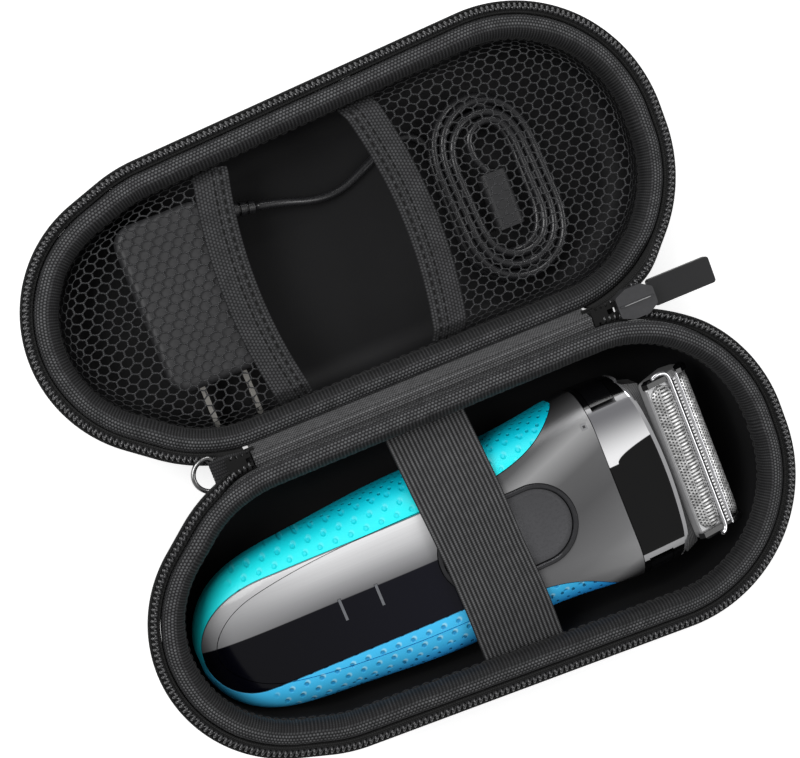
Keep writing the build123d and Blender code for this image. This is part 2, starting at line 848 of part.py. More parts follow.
# ---------------------------------------------------------------- all nodes
def build():
    nodes = {
        "base_shell": shell(base_height, base_corner),
        "base_lining": lining(base_height, base_corner),
        "base_binding": binding(base_height),
        "base_zip_tape": zip_tape(base_height),
        "base_zip_teeth": zip_row(base_height, 0.0),
        "lid_shell": lidward(shell(lid_height, lid_corner)),
        "lid_lining": lidward(lining(lid_height, lid_corner)),
        "lid_binding": lidward(binding(lid_height)),
        "lid_zip_tape": lidward(zip_tape(lid_height)),
        "lid_zip_teeth": lidward(zip_row(lid_height, 0.5)),
        "base_hinge_gusset": base_gusset(),
        "lid_hinge_gusset": lid_gusset(),
        "zip_end_left": chain_end(hinge_left - 7.4, hinge_left - 0.4, hinge_left - 2.0),
        "zip_end_right": chain_end(hinge_right + 0.4, slider_station + 5.0, hinge_right + 5.0),
        "slider_body": slider_body(),
        "slider_pull": pull_tab(),
        "ring_webbing": web_loop(),
        "key_ring": key_ring(),
        "elastic_strap": strap(),
        "left_pocket_elastic": pocket_band(left_band_edge, -1),
        "left_pocket_mesh": pocket_mesh(left_band_edge, -1),
        "right_pocket_elastic": pocket_band(right_band_edge, 1),
        "right_pocket_mesh": pocket_mesh(right_band_edge, 1),
        "charger_body": charger_body(),
        "charger_blades": charger_blades(),
        "charger_strain_relief": strain_relief(),
        "charger_cord": tube(cord_route(), cord_diameter, "charger_cord"),
        "cord_coil": cord_coil(),
        "cord_tail": cord_tail(),
        "cord_plug": cord_plug(),
    }
    form = handle_form()
    nodes.update(shaver_pieces(form))
    nodes.update(head_pieces(form))
    nodes["button_ring"] = on_shaver(pad_ring())
    nodes["power_button"] = on_shaver(power_button())
    nodes["head_skirt"] = head_skirt()
    nodes["cassette_frame"] = on_shaver(cassette_frame())
    nodes["foil_upper"] = on_shaver(foil(-foil_spacing / 2))
    nodes["foil_lower"] = on_shaver(foil(foil_spacing / 2))
    nodes["centre_trimmer"] = on_shaver(centre_trimmer())
    return nodes


for node, shape in build().items():
    export_step(Compound(children=list(shape.solids())), f"parts/{node}.step")
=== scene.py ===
from math import cos, hypot, pi, radians, sin, sqrt

import bpy
import numpy as np
from mathutils import Matrix, Vector, noise


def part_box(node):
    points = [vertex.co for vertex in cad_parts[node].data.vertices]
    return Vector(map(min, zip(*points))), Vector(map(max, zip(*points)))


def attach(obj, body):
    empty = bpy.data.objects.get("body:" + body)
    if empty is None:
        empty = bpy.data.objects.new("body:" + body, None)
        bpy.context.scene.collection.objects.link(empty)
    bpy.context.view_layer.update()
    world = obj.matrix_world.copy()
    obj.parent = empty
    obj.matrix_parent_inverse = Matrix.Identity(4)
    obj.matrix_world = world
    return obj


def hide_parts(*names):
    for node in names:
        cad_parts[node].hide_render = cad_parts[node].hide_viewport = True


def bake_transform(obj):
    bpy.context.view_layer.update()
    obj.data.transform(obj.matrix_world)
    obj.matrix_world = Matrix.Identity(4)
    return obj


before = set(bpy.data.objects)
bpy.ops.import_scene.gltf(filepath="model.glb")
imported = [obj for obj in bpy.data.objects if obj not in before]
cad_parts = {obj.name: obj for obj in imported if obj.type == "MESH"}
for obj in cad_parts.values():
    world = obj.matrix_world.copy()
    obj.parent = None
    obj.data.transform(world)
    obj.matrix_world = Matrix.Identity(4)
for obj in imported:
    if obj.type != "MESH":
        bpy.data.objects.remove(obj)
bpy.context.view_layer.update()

MM = 0.001

# ---------------------------------------- sizes of the case, in mm
CASE_LENGTH = 192.0
CASE_WIDTH = 94.3
SPINE = 0.7
TIP_RADIUS, TIP_DEPTH = 38.9, 45.7
LEFT_RADIUS, LEFT_STATION = 43.9, 49.1
RIGHT_RADIUS = 44.6
BASE_HEIGHT, LID_HEIGHT, GAP = 38.0, 28.0, 0.6
BASE_CORNER, LID_CORNER = 16.0, 12.0
HINGE_Z = (BASE_HEIGHT + LID_HEIGHT + GAP) / 2
SHAVER_X, SHAVER_Y, SHAVER_TURN = -85.4, -50.5, radians(1.1)
STRAP_RIB = 1.2
UP = Vector((0, 0, 1))


# ---------------------------------------- camera
def make_camera():
    """The photograph's view, from the camera's axes and place in the frame."""
    right = Vector((0.9169761, -0.3604744, 0.1709180))
    down = Vector((-0.3759243, -0.9241734, 0.0677092))
    ahead = Vector((0.1335504, -0.1263400, -0.9829560))
    place = Vector((-56.886, 54.791, 421.160)) * MM
    focal_pixels, photo_width = 1420.2, 800
    data = bpy.data.cameras.new("camera")
    data.sensor_fit = "HORIZONTAL"
    data.sensor_width = 36.0
    data.lens = focal_pixels * data.sensor_width / photo_width
    data.clip_start, data.clip_end = 0.01, 10
    cam = bpy.data.objects.new("camera", data)
    bpy.context.scene.collection.objects.link(cam)
    turn = Matrix((right, -down, -ahead)).transposed().to_4x4()
    cam.matrix_world = Matrix.Translation(place) @ turn
    bpy.context.scene.camera = cam


# ---------------------------------------- shader kit
class Value:
    """A shader socket that takes plain arithmetic, each sign as a Math node."""

    def __init__(self, shade, socket):
        self.shade, self.socket = shade, socket

    def __add__(self, other): return self.shade.m("ADD", self, other)
    def __radd__(self, other): return self.shade.m("ADD", other, self)
    def __sub__(self, other): return self.shade.m("SUBTRACT", self, other)
    def __rsub__(self, other): return self.shade.m("SUBTRACT", other, self)
    def __mul__(self, other): return self.shade.m("MULTIPLY", self, other)
    def __truediv__(self, other): return self.shade.m("DIVIDE", self, other)
    def __pow__(self, power): return self.shade.m("POWER", self, power)
    def __abs__(self): return self.shade.m("ABSOLUTE", self)


class Nodes:
    """Adds nodes to a tree and feeds them numbers, colours and each other's values."""

    def __init__(self, tree):
        self.tree = tree

    def feed(self, socket, value):
        if isinstance(value, Value):
            self.tree.links.new(value.socket, socket)
        elif isinstance(value, tuple):
            socket.default_value = (*value, 1.0)
        else:
            socket.default_value = value

    def node(self, kind, *values, named=(), **attrs):
        """A node with attributes; values feed its first inputs, named ones by name."""
        n = self.tree.nodes.new(kind)
        for k, v in attrs.items():
            setattr(n, k, v)
        for socket, v in zip(n.inputs, values):
            self.feed(socket, v)
        for name, v in dict(named).items():
            self.feed(n.inputs[name], v)
        return n

    def out(self, node, name=0):
        return Value(self, node.outputs[name])

    def m(self, operation, *values):
        return self.out(self.node("ShaderNodeMath", *values, operation=operation))

    def most(self, a, b):
        return self.m("MAXIMUM", a, b)

    def least(self, a, b):
        return self.m("MINIMUM", a, b)


class Shade(Nodes):
    """A material: patterns in millimetres and one principled shader."""

    def __init__(self, name, rough, metal=0.0, level=0.5, sheen=0.0, coat=0.0, coat_rough=0.1):
        self.mat = bpy.data.materials.new(name)
        self.mat.use_nodes = True
        super().__init__(self.mat.node_tree)
        self.bsdf = self.tree.nodes["Principled BSDF"]
        self.normal = None
        for key, value in (("Roughness", rough), ("Metallic", metal), ("Specular IOR Level", level),
                           ("Sheen Weight", sheen), ("Coat Weight", coat), ("Coat Roughness", coat_rough)):
            self.set(key, value)

    def set(self, name, value):
        self.feed(self.bsdf.inputs[name], value)

    def wave(self, x, pitch, phase=0.0):
        """0 to 1 along x, once every pitch."""
        return self.m("SINE", x * (2 * pi / pitch) + phase) * 0.5 + 0.5

    def step(self, x, low, high):
        """Smooth 0 to 1 as x goes from low to high."""
        return self.out(self.node("ShaderNodeMapRange", x, low, high, interpolation_type="SMOOTHSTEP"))

    def beyond(self, x, low, high):
        """Smooth 1 to 0 as x goes from low to high."""
        return 1.0 - self.step(x, low, high)

    def vector(self, x, y):
        return self.out(self.node("ShaderNodeCombineXYZ", x, y, 0.0))

    def in_mm(self, value):
        n = self.node("ShaderNodeVectorMath", value, named={"Scale": 1 / MM}, operation="SCALE")
        return self.out(n)

    def split(self, value):
        n = self.node("ShaderNodeSeparateXYZ", self.in_mm(value))
        return [self.out(n, i) for i in range(3)]

    def uv(self):
        return self.split(self.out(self.node("ShaderNodeUVMap", uv_map="map")))[:2]

    def place(self):
        return self.in_mm(self.out(self.node("ShaderNodeTexCoord"), "Object"))

    def xyz(self):
        return self.split(self.out(self.node("ShaderNodeTexCoord"), "Object"))

    def noise(self, vec, scale, detail=3.0):
        inputs = {"Vector": vec, "Scale": scale, "Detail": detail, "Roughness": 0.55}
        return self.out(self.node("ShaderNodeTexNoise", named=inputs), "Fac")

    def cloud(self, scale, detail=3.0):
        """Noise over the piece's own place."""
        return self.noise(self.place(), scale, detail)

    def mix(self, fac, a, b):
        n = self.node("ShaderNodeMix", data_type="RGBA")
        for i, value in ((0, fac), (6, a), (7, b)):
            self.feed(n.inputs[i], value)
        return self.out(n, 2)

    def greys(self, fac, stops):
        """Ramp of near greys: each stop is its place, its red and green, and its blue."""
        n = self.node("ShaderNodeValToRGB", fac)
        elements = n.color_ramp.elements
        while len(elements) < len(stops):
            elements.new(0.5)
        for e, (at, grey, blue) in zip(elements, stops):
            e.position = at
            e.color = (grey, grey, blue, 1.0)
        return self.out(n)

    def bump(self, height, depth_mm, strength=1.0):
        inputs = {"Strength": strength, "Distance": depth_mm * MM, "Height": height}
        n = self.node("ShaderNodeBump", named=inputs)
        if self.normal:
            self.feed(n.inputs["Normal"], self.normal)
        self.normal = self.out(n)
        self.set("Normal", self.normal)

    def stitched_rows(self, u, v, along, across):
        """Short raised threads in rows, each row half a stitch on from the last."""
        row = self.m("FLOOR", v / across)
        run = abs(self.m("SINE", (u / along + row * 0.5) * pi))
        lift = abs(self.m("SINE", v / across * pi))
        return run ** 0.7 * lift ** 0.7


# ---------------------------------------- mesh kit
def make_object(name, verts, faces, uvs=None, smooth=True):
    mesh = bpy.data.meshes.new(name)
    mesh.from_pydata([Vector(v) * MM for v in verts], [], faces)
    if uvs is not None:
        layer = mesh.uv_layers.new(name="map")
        flat = [c * MM for face in uvs for uv in face for c in uv]
        layer.data.foreach_set("uv", flat)
    if smooth:
        mesh.polygons.foreach_set("use_smooth", [True] * len(mesh.polygons))
    mesh.update()
    obj = bpy.data.objects.new(name, mesh)
    bpy.context.scene.collection.objects.link(obj)
    return obj


def finish_piece(obj, body, material, slot, *replaces):
    obj.data.materials.append(material)
    if body:
        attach(obj, body)
    if replaces:
        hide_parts(*replaces)
    return obj


class Grid:
    """Collects the faces of a mesh, with texture places in millimetres."""

    def __init__(self):
        self.verts, self.faces, self.uvs = [], [], []

    def add(self, face, uv=None):
        self.faces.append(face)
        self.uvs.append(uv or [(0.0, 0.0)] * len(face))

    def quad_rows(self, rows, uv_at, close_u=False, close_v=False, flip=False):
        """rows[i][j] are points; uv_at(i, j) is their texture place, past the end when closed."""
        start = len(self.verts)
        n, k = len(rows), len(rows[0])
        for row in rows:
            self.verts.extend(row)
        for i in range(n if close_u else n - 1):
            for j in range(k if close_v else k - 1):
                here, on = start + i * k, start + (i + 1) % n * k
                face = [here + j, here + (j + 1) % k, on + (j + 1) % k, on + j]
                uv = [uv_at(i, j), uv_at(i, j + 1), uv_at(i + 1, j + 1), uv_at(i + 1, j)]
                if flip:
                    face.reverse()
                    uv.reverse()
                self.add(face, uv)

    def closed_rows(self, rows, uv_at, flip=False, flip_ends=False):
        """quad_rows closed round each row, with a face over the first and the last row."""
        start, k = len(self.verts), len(rows[0])
        self.quad_rows(rows, uv_at, close_v=True, flip=flip)
        for first, turn in ((start, flip_ends), (start + (len(rows) - 1) * k, not flip_ends)):
            face = list(range(first, first + k))
            self.add(face[::-1] if turn else face)

    def fan(self, ring, centre, flip=False):
        """Closes a ring of vertex indices with a fan to a point; texture place is X and Y."""
        self.verts.append(centre)
        hub = len(self.verts) - 1
        for a, b in zip(ring, ring[1:] + ring[:1]):
            face = [b, a, hub] if flip else [a, b, hub]
            self.add(face, [self.verts[i][:2] for i in face])

    def piece(self, name, body, material, slot, *replaces, smooth=True):
        obj = make_object(name, self.verts, self.faces, self.uvs, smooth)
        return finish_piece(obj, body, material, slot, *replaces)


def run_at(line, i):
    """Direction of a line of points at one of them."""
    return (line[min(i + 1, len(line) - 1)] - line[max(i - 1, 0)]).normalized()


def ring_about(centre, u, v, radius, sides):
    turns = [2 * pi * k / sides for k in range(sides)]
    return [centre + u * (radius * cos(a)) + v * (radius * sin(a)) for a in turns]


def tube_along(grid, spine, radius, sides, side_axis):
    """Round tube along a line of points whose run is never along side_axis."""
    rows = []
    for i, p in enumerate(spine):
        run = run_at(spine, i)
        u = (side_axis - run * run.dot(side_axis)).normalized()
        rows.append(ring_about(p, u, run.cross(u), radius, sides))
    grid.closed_rows(rows, lambda i, j: (i * 1.0, j * radius))


def round_band(cols):
    """Side and column of each point round a flat band: over the top, then back below."""
    return [(1, j) for j in range(cols + 1)] + [(-1, j) for j in range(cols, -1, -1)]


def across_band(j, cols, width):
    """Texture place across a band of the j-th point of round_band."""
    j = min(j, 2 * cols + 1)
    return width * (j if j <= cols else 2 * cols + 1 - j) / cols


def lengths_round(profile):
    """Run of each point of a closed profile, with the whole length at the end."""
    runs = [0.0]
    for (a, b), (c, d) in zip(profile, profile[1:] + profile[:1]):
        runs.append(runs[-1] + hypot(c - a, d - b))
    return runs


def arc(cx, cz, r, start, stop, steps):
    angles = [radians(start + (stop - start) * i / steps) for i in range(steps + 1)]
    return [(cx + r * cos(a), cz + r * sin(a)) for a in angles]


def smooth_line(points, round_off, step):
    """Polyline with its corners rounded, resampled at an even step."""
    points = [Vector(p) for p in points]
    rounded = [points[0]]
    for a, b, c in zip(points, points[1:], points[2:]):
        back = min(round_off, (a - b).length * 0.45)
        on = min(round_off, (c - b).length * 0.45)
        p, q = b + (a - b).normalized() * back, b + (c - b).normalized() * on
        for k in range(9):
            t = k / 8
            rounded.append(p * (1 - t) ** 2 + b * (2 * t * (1 - t)) + q * t ** 2)
    rounded.append(points[-1])
    out, carry = [rounded[0]], 0.0
    for a, b in zip(rounded, rounded[1:]):
        d = (b - a).length
        while carry + d >= step and d > 0:
            a = a + (b - a) * ((step - carry) / d)
            d = (b - a).length
            carry = 0.0
            out.append(a)
        carry += d
    out.append(rounded[-1])
    return out


# ---------------------------------------- outline of the case
def rim_samples(count):
    """Points of the base's outline with outward normals and run, evenly spaced."""
    half, fine_count = CASE_LENGTH / 2, 2880
    spots = [
        (TIP_RADIUS - half, SPINE - TIP_DEPTH, TIP_RADIUS),
        (LEFT_STATION - half, SPINE - LEFT_RADIUS, LEFT_RADIUS),
        (half - RIGHT_RADIUS, SPINE - RIGHT_RADIUS, RIGHT_RADIUS),
        (half - RIGHT_RADIUS, SPINE - CASE_WIDTH + RIGHT_RADIUS, RIGHT_RADIUS),
    ]
    fine = []
    for k in range(fine_count):
        a = 2 * pi * k / fine_count
        n = (cos(a), sin(a))
        x, y, r = max(spots, key=lambda s: s[0] * n[0] + s[1] * n[1] + s[2])
        fine.append((x + r * n[0], y + r * n[1], *n))
    fine.append(fine[0])
    runs = [0.0]
    for a, b in zip(fine, fine[1:]):
        runs.append(runs[-1] + hypot(b[0] - a[0], b[1] - a[1]))
    total, out, k = runs[-1], [], 0
    for i in range(count):
        s = total * i / count
        while runs[k + 1] < s:
            k += 1
        t = (s - runs[k]) / max(runs[k + 1] - runs[k], 1e-9)
        out.append(tuple(p + (q - p) * t for p, q in zip(fine[k], fine[k + 1])) + (s,))
    return out, total


RIM, RIM_LENGTH = rim_samples(720)


def rim_at(s):
    """Point and outward normal of the outline at a run along it."""
    t = (s % RIM_LENGTH) / RIM_LENGTH * len(RIM)
    i = int(t) % len(RIM)
    f = t - int(t)
    return tuple(p + (q - p) * f for p, q in zip(RIM[i][:4], RIM[(i + 1) % len(RIM)]))


def swept(profile, lid, closed=True, ripple=0.0, seed=0.0, samples=None):
    """Mesh of a profile of (inset, z) carried round the rim, or along some samples of it."""
    side = -1.0 if lid else 1.0
    rows = []
    for x, y, nx, ny, _ in samples or RIM:
        push = ripple * noise.noise(Vector((x, y, seed)) * 0.11) if ripple else 0.0
        lift = ripple * noise.noise(Vector((y, x, seed + 7)) * 0.15) if ripple else 0.0
        rows.append([(x - (inset + push) * nx, side * (y - (inset + push) * ny), z + lift)
                     for inset, z in profile])
    runs = lengths_round(profile)
    grid = Grid()
    grid.quad_rows(rows, lambda i, j: (RIM_LENGTH * i / len(RIM), runs[j]),
                   close_u=samples is None, close_v=closed, flip=not lid)
    return grid


# ---------------------------------------- materials
BLACK_THREAD = (0.005, 0.005, 0.0055)
# Where each edge of the tongue starts to close, over what run, and how far out it lies.
TONGUE_ABOVE, TONGUE_BELOW, TONGUE_END = (26.0, 24.6, 17.0), (16.0, 14.8, 13.4), 1.3
# Across the shaver, the edge below which the tongue's painted silver reflection gives way to its own black.
REFLECTION_EDGE = 2.8
MARK_S, MARK_W = 125.6, 20.5


def shaver_axes(k):
    """Run along the shaver from its tail, run across it, and height, in mm."""
    x, y, z = k.xyz()
    dx, dy = x - SHAVER_X, y - SHAVER_Y
    c, s = cos(SHAVER_TURN), sin(SHAVER_TURN)
    return dx * c + dy * s, dy * c - dx * s, z


def dots(k, u, v, pitch_u, pitch_v, radius, soft):
    """1 inside each dot of a brick lattice, 0 outside."""
    row = k.m("FLOOR", v / pitch_v)
    du = (k.m("FRACT", u / pitch_u + row * 0.5) - 0.5) * pitch_u
    dv = (k.m("FRACT", v / pitch_v) - 0.5) * pitch_v
    return k.beyond(k.m("SQRT", du * du + dv * dv), radius - soft, radius + soft)


def woven(name, dark, light, along, across, depth=0.12, sheen=0.05, level=0.3):
    """Cloth of short threads in staggered rows, a little worn."""
    k = Shade(name, 0.75, sheen=sheen, level=level)
    thread = k.stitched_rows(*k.uv(), along, across)
    k.set("Base Color", k.mix(thread * (0.45 + k.cloud(0.5, 4.0)), dark, light))
    k.bump(thread, depth)
    k.bump(k.cloud(0.22, 2.0), 0.5, 0.35)
    return k.mat


def plain(name, colour, rough, metal=0.0, vary=0.25, level=0.5, coat=0.0):
    """Moulded or plated surface with a slight drift of colour and gloss."""
    k = Shade(name, rough, metal, level=level, coat=coat)
    cloud = k.cloud(1.2, 4.0)
    low = tuple(c * (1 - vary) for c in colour)
    high = tuple(min(1.0, c * (1 + vary)) for c in colour)
    k.set("Base Color", k.mix(cloud, low, high))
    k.set("Roughness", cloud * 0.12 + (rough - 0.06))
    k.bump(k.cloud(6.0), 0.03, 0.25)
    return k.mat


def cover_cloth():
    """Fine plain weave over the moulded shells."""
    k = Shade("cover_cloth", 0.8, sheen=0.05, level=0.25)
    u, v = k.uv()
    pitch = 0.85
    weave = abs(k.wave(u, pitch) - k.wave(v, pitch))
    tone = weave * (0.4 + k.cloud(2.2, 2.0))
    k.set("Base Color", k.mix(tone, (0.009, 0.009, 0.010), (0.052, 0.052, 0.056)))
    k.bump(weave, 0.14)
    k.bump(k.cloud(0.06), 0.8, 0.3)
    return k.mat


def lining_cloth():
    """Flat black lining with a faint grain."""
    k = Shade("lining_cloth", 0.6, sheen=0.03, level=0.22)
    grain, cloud = k.cloud(3.5), k.cloud(0.03, 2.0)
    k.set("Base Color", k.mix(cloud, (0.0045, 0.0045, 0.005), (0.0095, 0.0095, 0.0105)))
    k.set("Roughness", 0.5 + grain * 0.2)
    k.bump(grain, 0.03)
    k.bump(cloud, 1.2, 0.25)
    return k.mat


def binding_cloth():
    """Black twill tape: bright thread dashes on its outer crown as painted highlights, and ribs on the
    slope inside dimmed as painted shade.
    """
    k = Shade("binding_cloth", 0.7, sheen=0.04, level=0.25)
    u, v = k.uv()
    twill = 1.04
    thread = k.stitched_rows(u, v, twill, 0.95) ** 1.8
    ribs = k.wave(u, twill) ** 1.5 * (0.55 + k.wave(v, 0.6) * 0.45)
    inner = k.step(v, 8.2, 9.6)
    # Painted light and shade: the bright dashes only on the outer crown, the ribs inside dimmed.
    cloth = thread * (1.0 - inner) + ribs * (inner * 0.24)
    tone = cloth * (0.1 + k.cloud(0.35, 4.0) * 1.3)
    k.set("Base Color", k.mix(tone, (0.0025, 0.0025, 0.003), (0.17, 0.172, 0.178)))
    k.bump(cloth, 0.2)
    return k.mat


def elastic_cloth():
    """Ribbed elastic: threads run across each rib."""
    k = Shade("elastic_cloth", 0.65, sheen=0.05, level=0.3)
    u, v = k.uv()
    cross = k.wave(v, 0.62)
    cord = k.wave(u, STRAP_RIB, -pi / 2) ** 1.6
    tone = cord * (0.6 + cross * 0.4) * (0.5 + k.cloud(0.4) * 0.9)
    k.set("Base Color", k.mix(tone, BLACK_THREAD, (0.135, 0.136, 0.14)))
    k.bump(cross, 0.08)
    return k.mat


def hem_cloth():
    """Folded elastic edge of a pocket, with two rows of stitches near its mouth."""
    k = Shade("hem_cloth", 0.7, sheen=0.04, level=0.25)
    u, v = k.uv()
    fine = k.stitched_rows(u, v, 0.95, 0.9) ** 1.4
    colour = k.mix(fine * (0.2 + k.cloud(0.3) * 1.1), BLACK_THREAD, (0.085, 0.086, 0.09))
    rows = [k.beyond(abs(v - at), 0.2, 0.36) * k.step(k.wave(u, 2.6), 0.25, 0.5) for at in (2.2, 4.4)]
    stitches = k.most(*rows)
    k.set("Base Color", k.mix(stitches, colour, (0.003, 0.003, 0.003)))
    k.bump(fine, 0.09)
    k.bump(stitches, -0.2)
    return k.mat


def panel_field(k, s, w):
    """1 on the glossy tongue and 0 on the rubber round it, and 1 in the groove between them."""
    def bow(start, run, half):
        t = k.most(start - s, 0.0) / run
        return k.m("SQRT", k.most(1.0 - t ** 2.2, 0.0)) * half

    near = k.least(bow(*TONGUE_ABOVE) - w, w + bow(*TONGUE_BELOW))
    near = k.least(near, (s - TONGUE_END) * 1.5)
    return k.step(near, -0.08, 0.08), k.beyond(abs(near), 0.08, 0.26)


def rubber_blue(k, s, w, z):
    """Blue of the two halves with rows of dimples, painted darker as shade in their hollows with a painted
    highlight on the rim of each big one, and how deep the dimples are.
    """
    upper = k.step(w, -7.0, 9.0)
    lower = 1.0 - upper
    edge = k.step(abs(w), 19.0, 28.0)
    low = k.mix(edge, (0.06, 0.58, 1.0), (0.02, 0.36, 1.0))
    high = k.mix(edge, (0.012, 0.95, 1.0), (0.0, 0.68, 0.90))
    body = k.mix(upper, low, high)
    outer = k.step(abs(w) + lower * 3.2, 24.4, 25.4)
    room = (1.0 - outer) * k.step(s, 14.0, 20.0)
    pitch = (4.6, 2.9)
    big = dots(k, s, w, *pitch, 0.62, 0.3)
    # Painted highlight: a light crescent beside each big dimple.
    glint = (dots(k, s - 0.5, w - 0.45, *pitch, 0.72, 0.25) - big) * room
    big = big * room
    fine = dots(k, s + 1.4, z - 2.0, 3.4, 2.4, 0.42, 0.16) * outer
    # Painted highlights on the dimples' rims, then painted shade darkening the dimples, more on the lower
    # half.
    colour = k.mix(k.most(glint, 0.0) * (0.12 + lower * 0.4), body, (0.55, 0.92, 1.0))
    colour = k.mix(big * (0.12 + lower * 0.5), colour, (0.0, 0.20, 0.55))
    colour = k.mix(fine * (0.35 + lower * 0.4), colour, (0.0, 0.05, 0.16))
    return colour, big * 0.7 + fine


def shaver_skin():
    """Two-tone blue rubber with rows of dimples, and the glossy black tongue in it, whose upper part is a
    painted silver reflection.
    """
    k = Shade("shaver_skin", 0.4, level=0.35)
    s, w, z = shaver_axes(k)
    panel, groove = panel_field(k, s, w)
    blue, dimples = rubber_blue(k, s, w, z)
    above = w - REFLECTION_EDGE
    streak = k.noise(k.vector(s * 0.02, w * 1.6), 1.0)
    # Painted reflection: silver, brightest at the tongue's upper edge and greyer towards the tail, with
    # painted streaks.
    painted_reflection = k.greys(above / 14.0, ((0.0, 0.13, 0.135), (0.3, 0.36, 0.37),
                                    (0.6, 0.66, 0.67), (1.0, 0.93, 0.94)))
    painted_reflection = k.mix(k.beyond(s, 4.0, 48.0) * 0.62, painted_reflection, (0.27, 0.27, 0.275))
    painted_reflection = k.mix(streak * 0.22, painted_reflection, (0.25, 0.25, 0.26))
    dark = k.mix(k.step(s, 10.0, 80.0), (0.0010, 0.0010, 0.003), (0.004, 0.004, 0.009))
    front = k.mix(k.step(above, -0.15, 0.15), dark, painted_reflection)
    k.set("Base Color", k.mix(groove * 0.8, k.mix(panel, blue, front), (0.01, 0.02, 0.03)))
    rubber = 1.0 - panel
    k.set("Roughness", rubber * 0.27 + (0.12 + streak * 0.08))
    k.bump(dimples * rubber, -0.4)
    k.bump(groove, -0.2)
    return k.mat


def collar_lacquer():
    """Brushed grey with bands from bright to black that are painted highlights and reflections, and one
    small square mark.
    """
    k = Shade("collar_lacquer", 0.3, metal=0.35)
    s, w, _ = shaver_axes(k)

    def square(inner, outer):
        return k.beyond(abs(s - MARK_S), inner, outer) * k.beyond(abs(w - MARK_W), inner, outer)

    # Painted highlights and reflections: bright and dark bands slanting across the collar.
    slant = (w + (s - 110.0) * -0.35 + 34.0) / 68.0
    colour = k.greys(slant, ((0.02, 0.035, 0.036), (0.10, 0.34, 0.345), (0.24, 0.20, 0.204),
                             (0.45, 0.11, 0.113), (0.60, 0.14, 0.143), (0.72, 0.42, 0.425),
                             (0.79, 0.12, 0.123), (0.87, 0.035, 0.036), (0.98, 0.015, 0.015)))
    fleck = k.cloud(9.0, 2.0)
    mark = square(0.85, 1.0)
    colour = k.mix(mark * 0.85, colour, (0.30, 0.30, 0.31))
    k.set("Base Color", k.mix(square(0.3, 0.45) * 0.9, colour, (0.03, 0.03, 0.031)))
    k.set("Roughness", 0.27 + fleck * 0.1)
    k.bump(fleck, 0.012, 0.5)
    k.bump(mark, -0.1)
    return k.mat


def saddle_lacquer():
    """Piano black with one painted reflection: a bright field that ends in a curved edge."""
    k = Shade("saddle_lacquer", 0.1, level=0.35, coat=0.25, coat_rough=0.02)
    s, w, _ = shaver_axes(k)
    # Painted reflection: the bright field fades from near white to dark grey across the head, on black
    # lacquer.
    curve = k.most((s - 131.0) / 9.0, 0.0) ** 0.45 * 3.6 + 6.6
    field = k.step(w - curve, -0.12, 0.12) * k.beyond(w, 24.2, 24.5)
    painted_reflection = k.mix(k.step(w, 8.0, 21.0), (0.92, 0.92, 0.93), (0.16, 0.16, 0.17))
    painted_reflection = k.mix(k.step(w, 22.0, 25.0), painted_reflection, (0.45, 0.45, 0.46))
    lower = k.step(w, -23.6, -23.4) * k.beyond(w, -21.4, -21.2)
    colour = k.mix(field, (0.002, 0.002, 0.0022), painted_reflection)
    k.set("Base Color", k.mix(lower, colour, (0.42, 0.42, 0.43)))
    k.bump(k.cloud(0.2, 2.0), 0.05, 0.3)
    return k.mat


def foil_metal(name, base, hole, slots):
    """Perforated foil: round pits, and cross slots down the middle of the wide one."""
    k = Shade(name, 0.3, metal=0.4, level=0.6)
    u, v = k.uv()
    mark = dots(k, v, u, 0.95, 0.8, 0.27, 0.1)
    flare = k.noise(k.vector(v * 0.9, u * 0.3), 1.0)
    if slots:
        middle = k.beyond(abs(u - slots), 1.3, 1.7)
        slit = k.step(k.wave(v, 1.05), 0.5, 0.7) * middle
        mark = k.most(mark * (1.0 - middle), slit)
    colour = k.mix(k.step(flare, 0.40, 0.64), tuple(c * 0.5 for c in base), base)
    k.set("Base Color", k.mix(mark * 0.92, colour, hole))
    k.bump(mark, -0.12)
    return k.mat


def floor_white():
    """Pale floor: bright to the camera and to reflections, and still shadowed."""
    k = Shade("floor_white", 0.9, level=0.1)
    k.set("Base Color", k.mix(k.cloud(0.01, 2.0), (0.86, 0.86, 0.86), (0.9, 0.9, 0.9)))
    path = k.node("ShaderNodeLightPath")
    seen = k.most(k.out(path, "Is Camera Ray"), k.out(path, "Is Glossy Ray"))
    k.set("Emission Color", (1.0, 1.0, 1.0))
    k.set("Emission Strength", seen * 0.55)
    return k.mat


# ---------------------------------------- case halves
GATE_LEFT, GATE_RIGHT, GATE_DROP = -51.5, 54.5, 4.45
RAMP_LEFT, RAMP_RIGHT = -63.0, 84.0
HINGE_LEFT, HINGE_RIGHT = -50.0, 53.0
SHELL_INSET, LINING_INSET, INNER_INSET = 4.0, 7.0, 7.6
FLOOR_Z, CAP = 3.6, 1.0
BIND_OUT, BIND_IN, BIND_DROP = 3.4, 10.0, 6.2
TAPE_THICK, TAPE_SKIRT, BEAD = 0.5, 3.4, 0.5
TOOTH_PITCH, TOOTH_LENGTH, TOOTH_RISE, TOOTH_MESH = 1.64, 2.6, 1.7, 0.3
WEB_TOP, WEB_THICK, WEB_NEAR, WEB_FAR = 30.7, 0.6, 0.12, -2.9
WEB_LEFT, WEB_RIGHT, WEB_LAP = -54.0, 60.8, 1.2


def sizes_of(lid):
    """Height, corner radius and Y side of a half of the case."""
    return (LID_HEIGHT, LID_CORNER, -1.0) if lid else (BASE_HEIGHT, BASE_CORNER, 1.0)


def row_seat(lid):
    """Height at which the tape's top carries the coil."""
    return sizes_of(lid)[0] + GAP / 2 + TOOTH_MESH - TOOTH_RISE


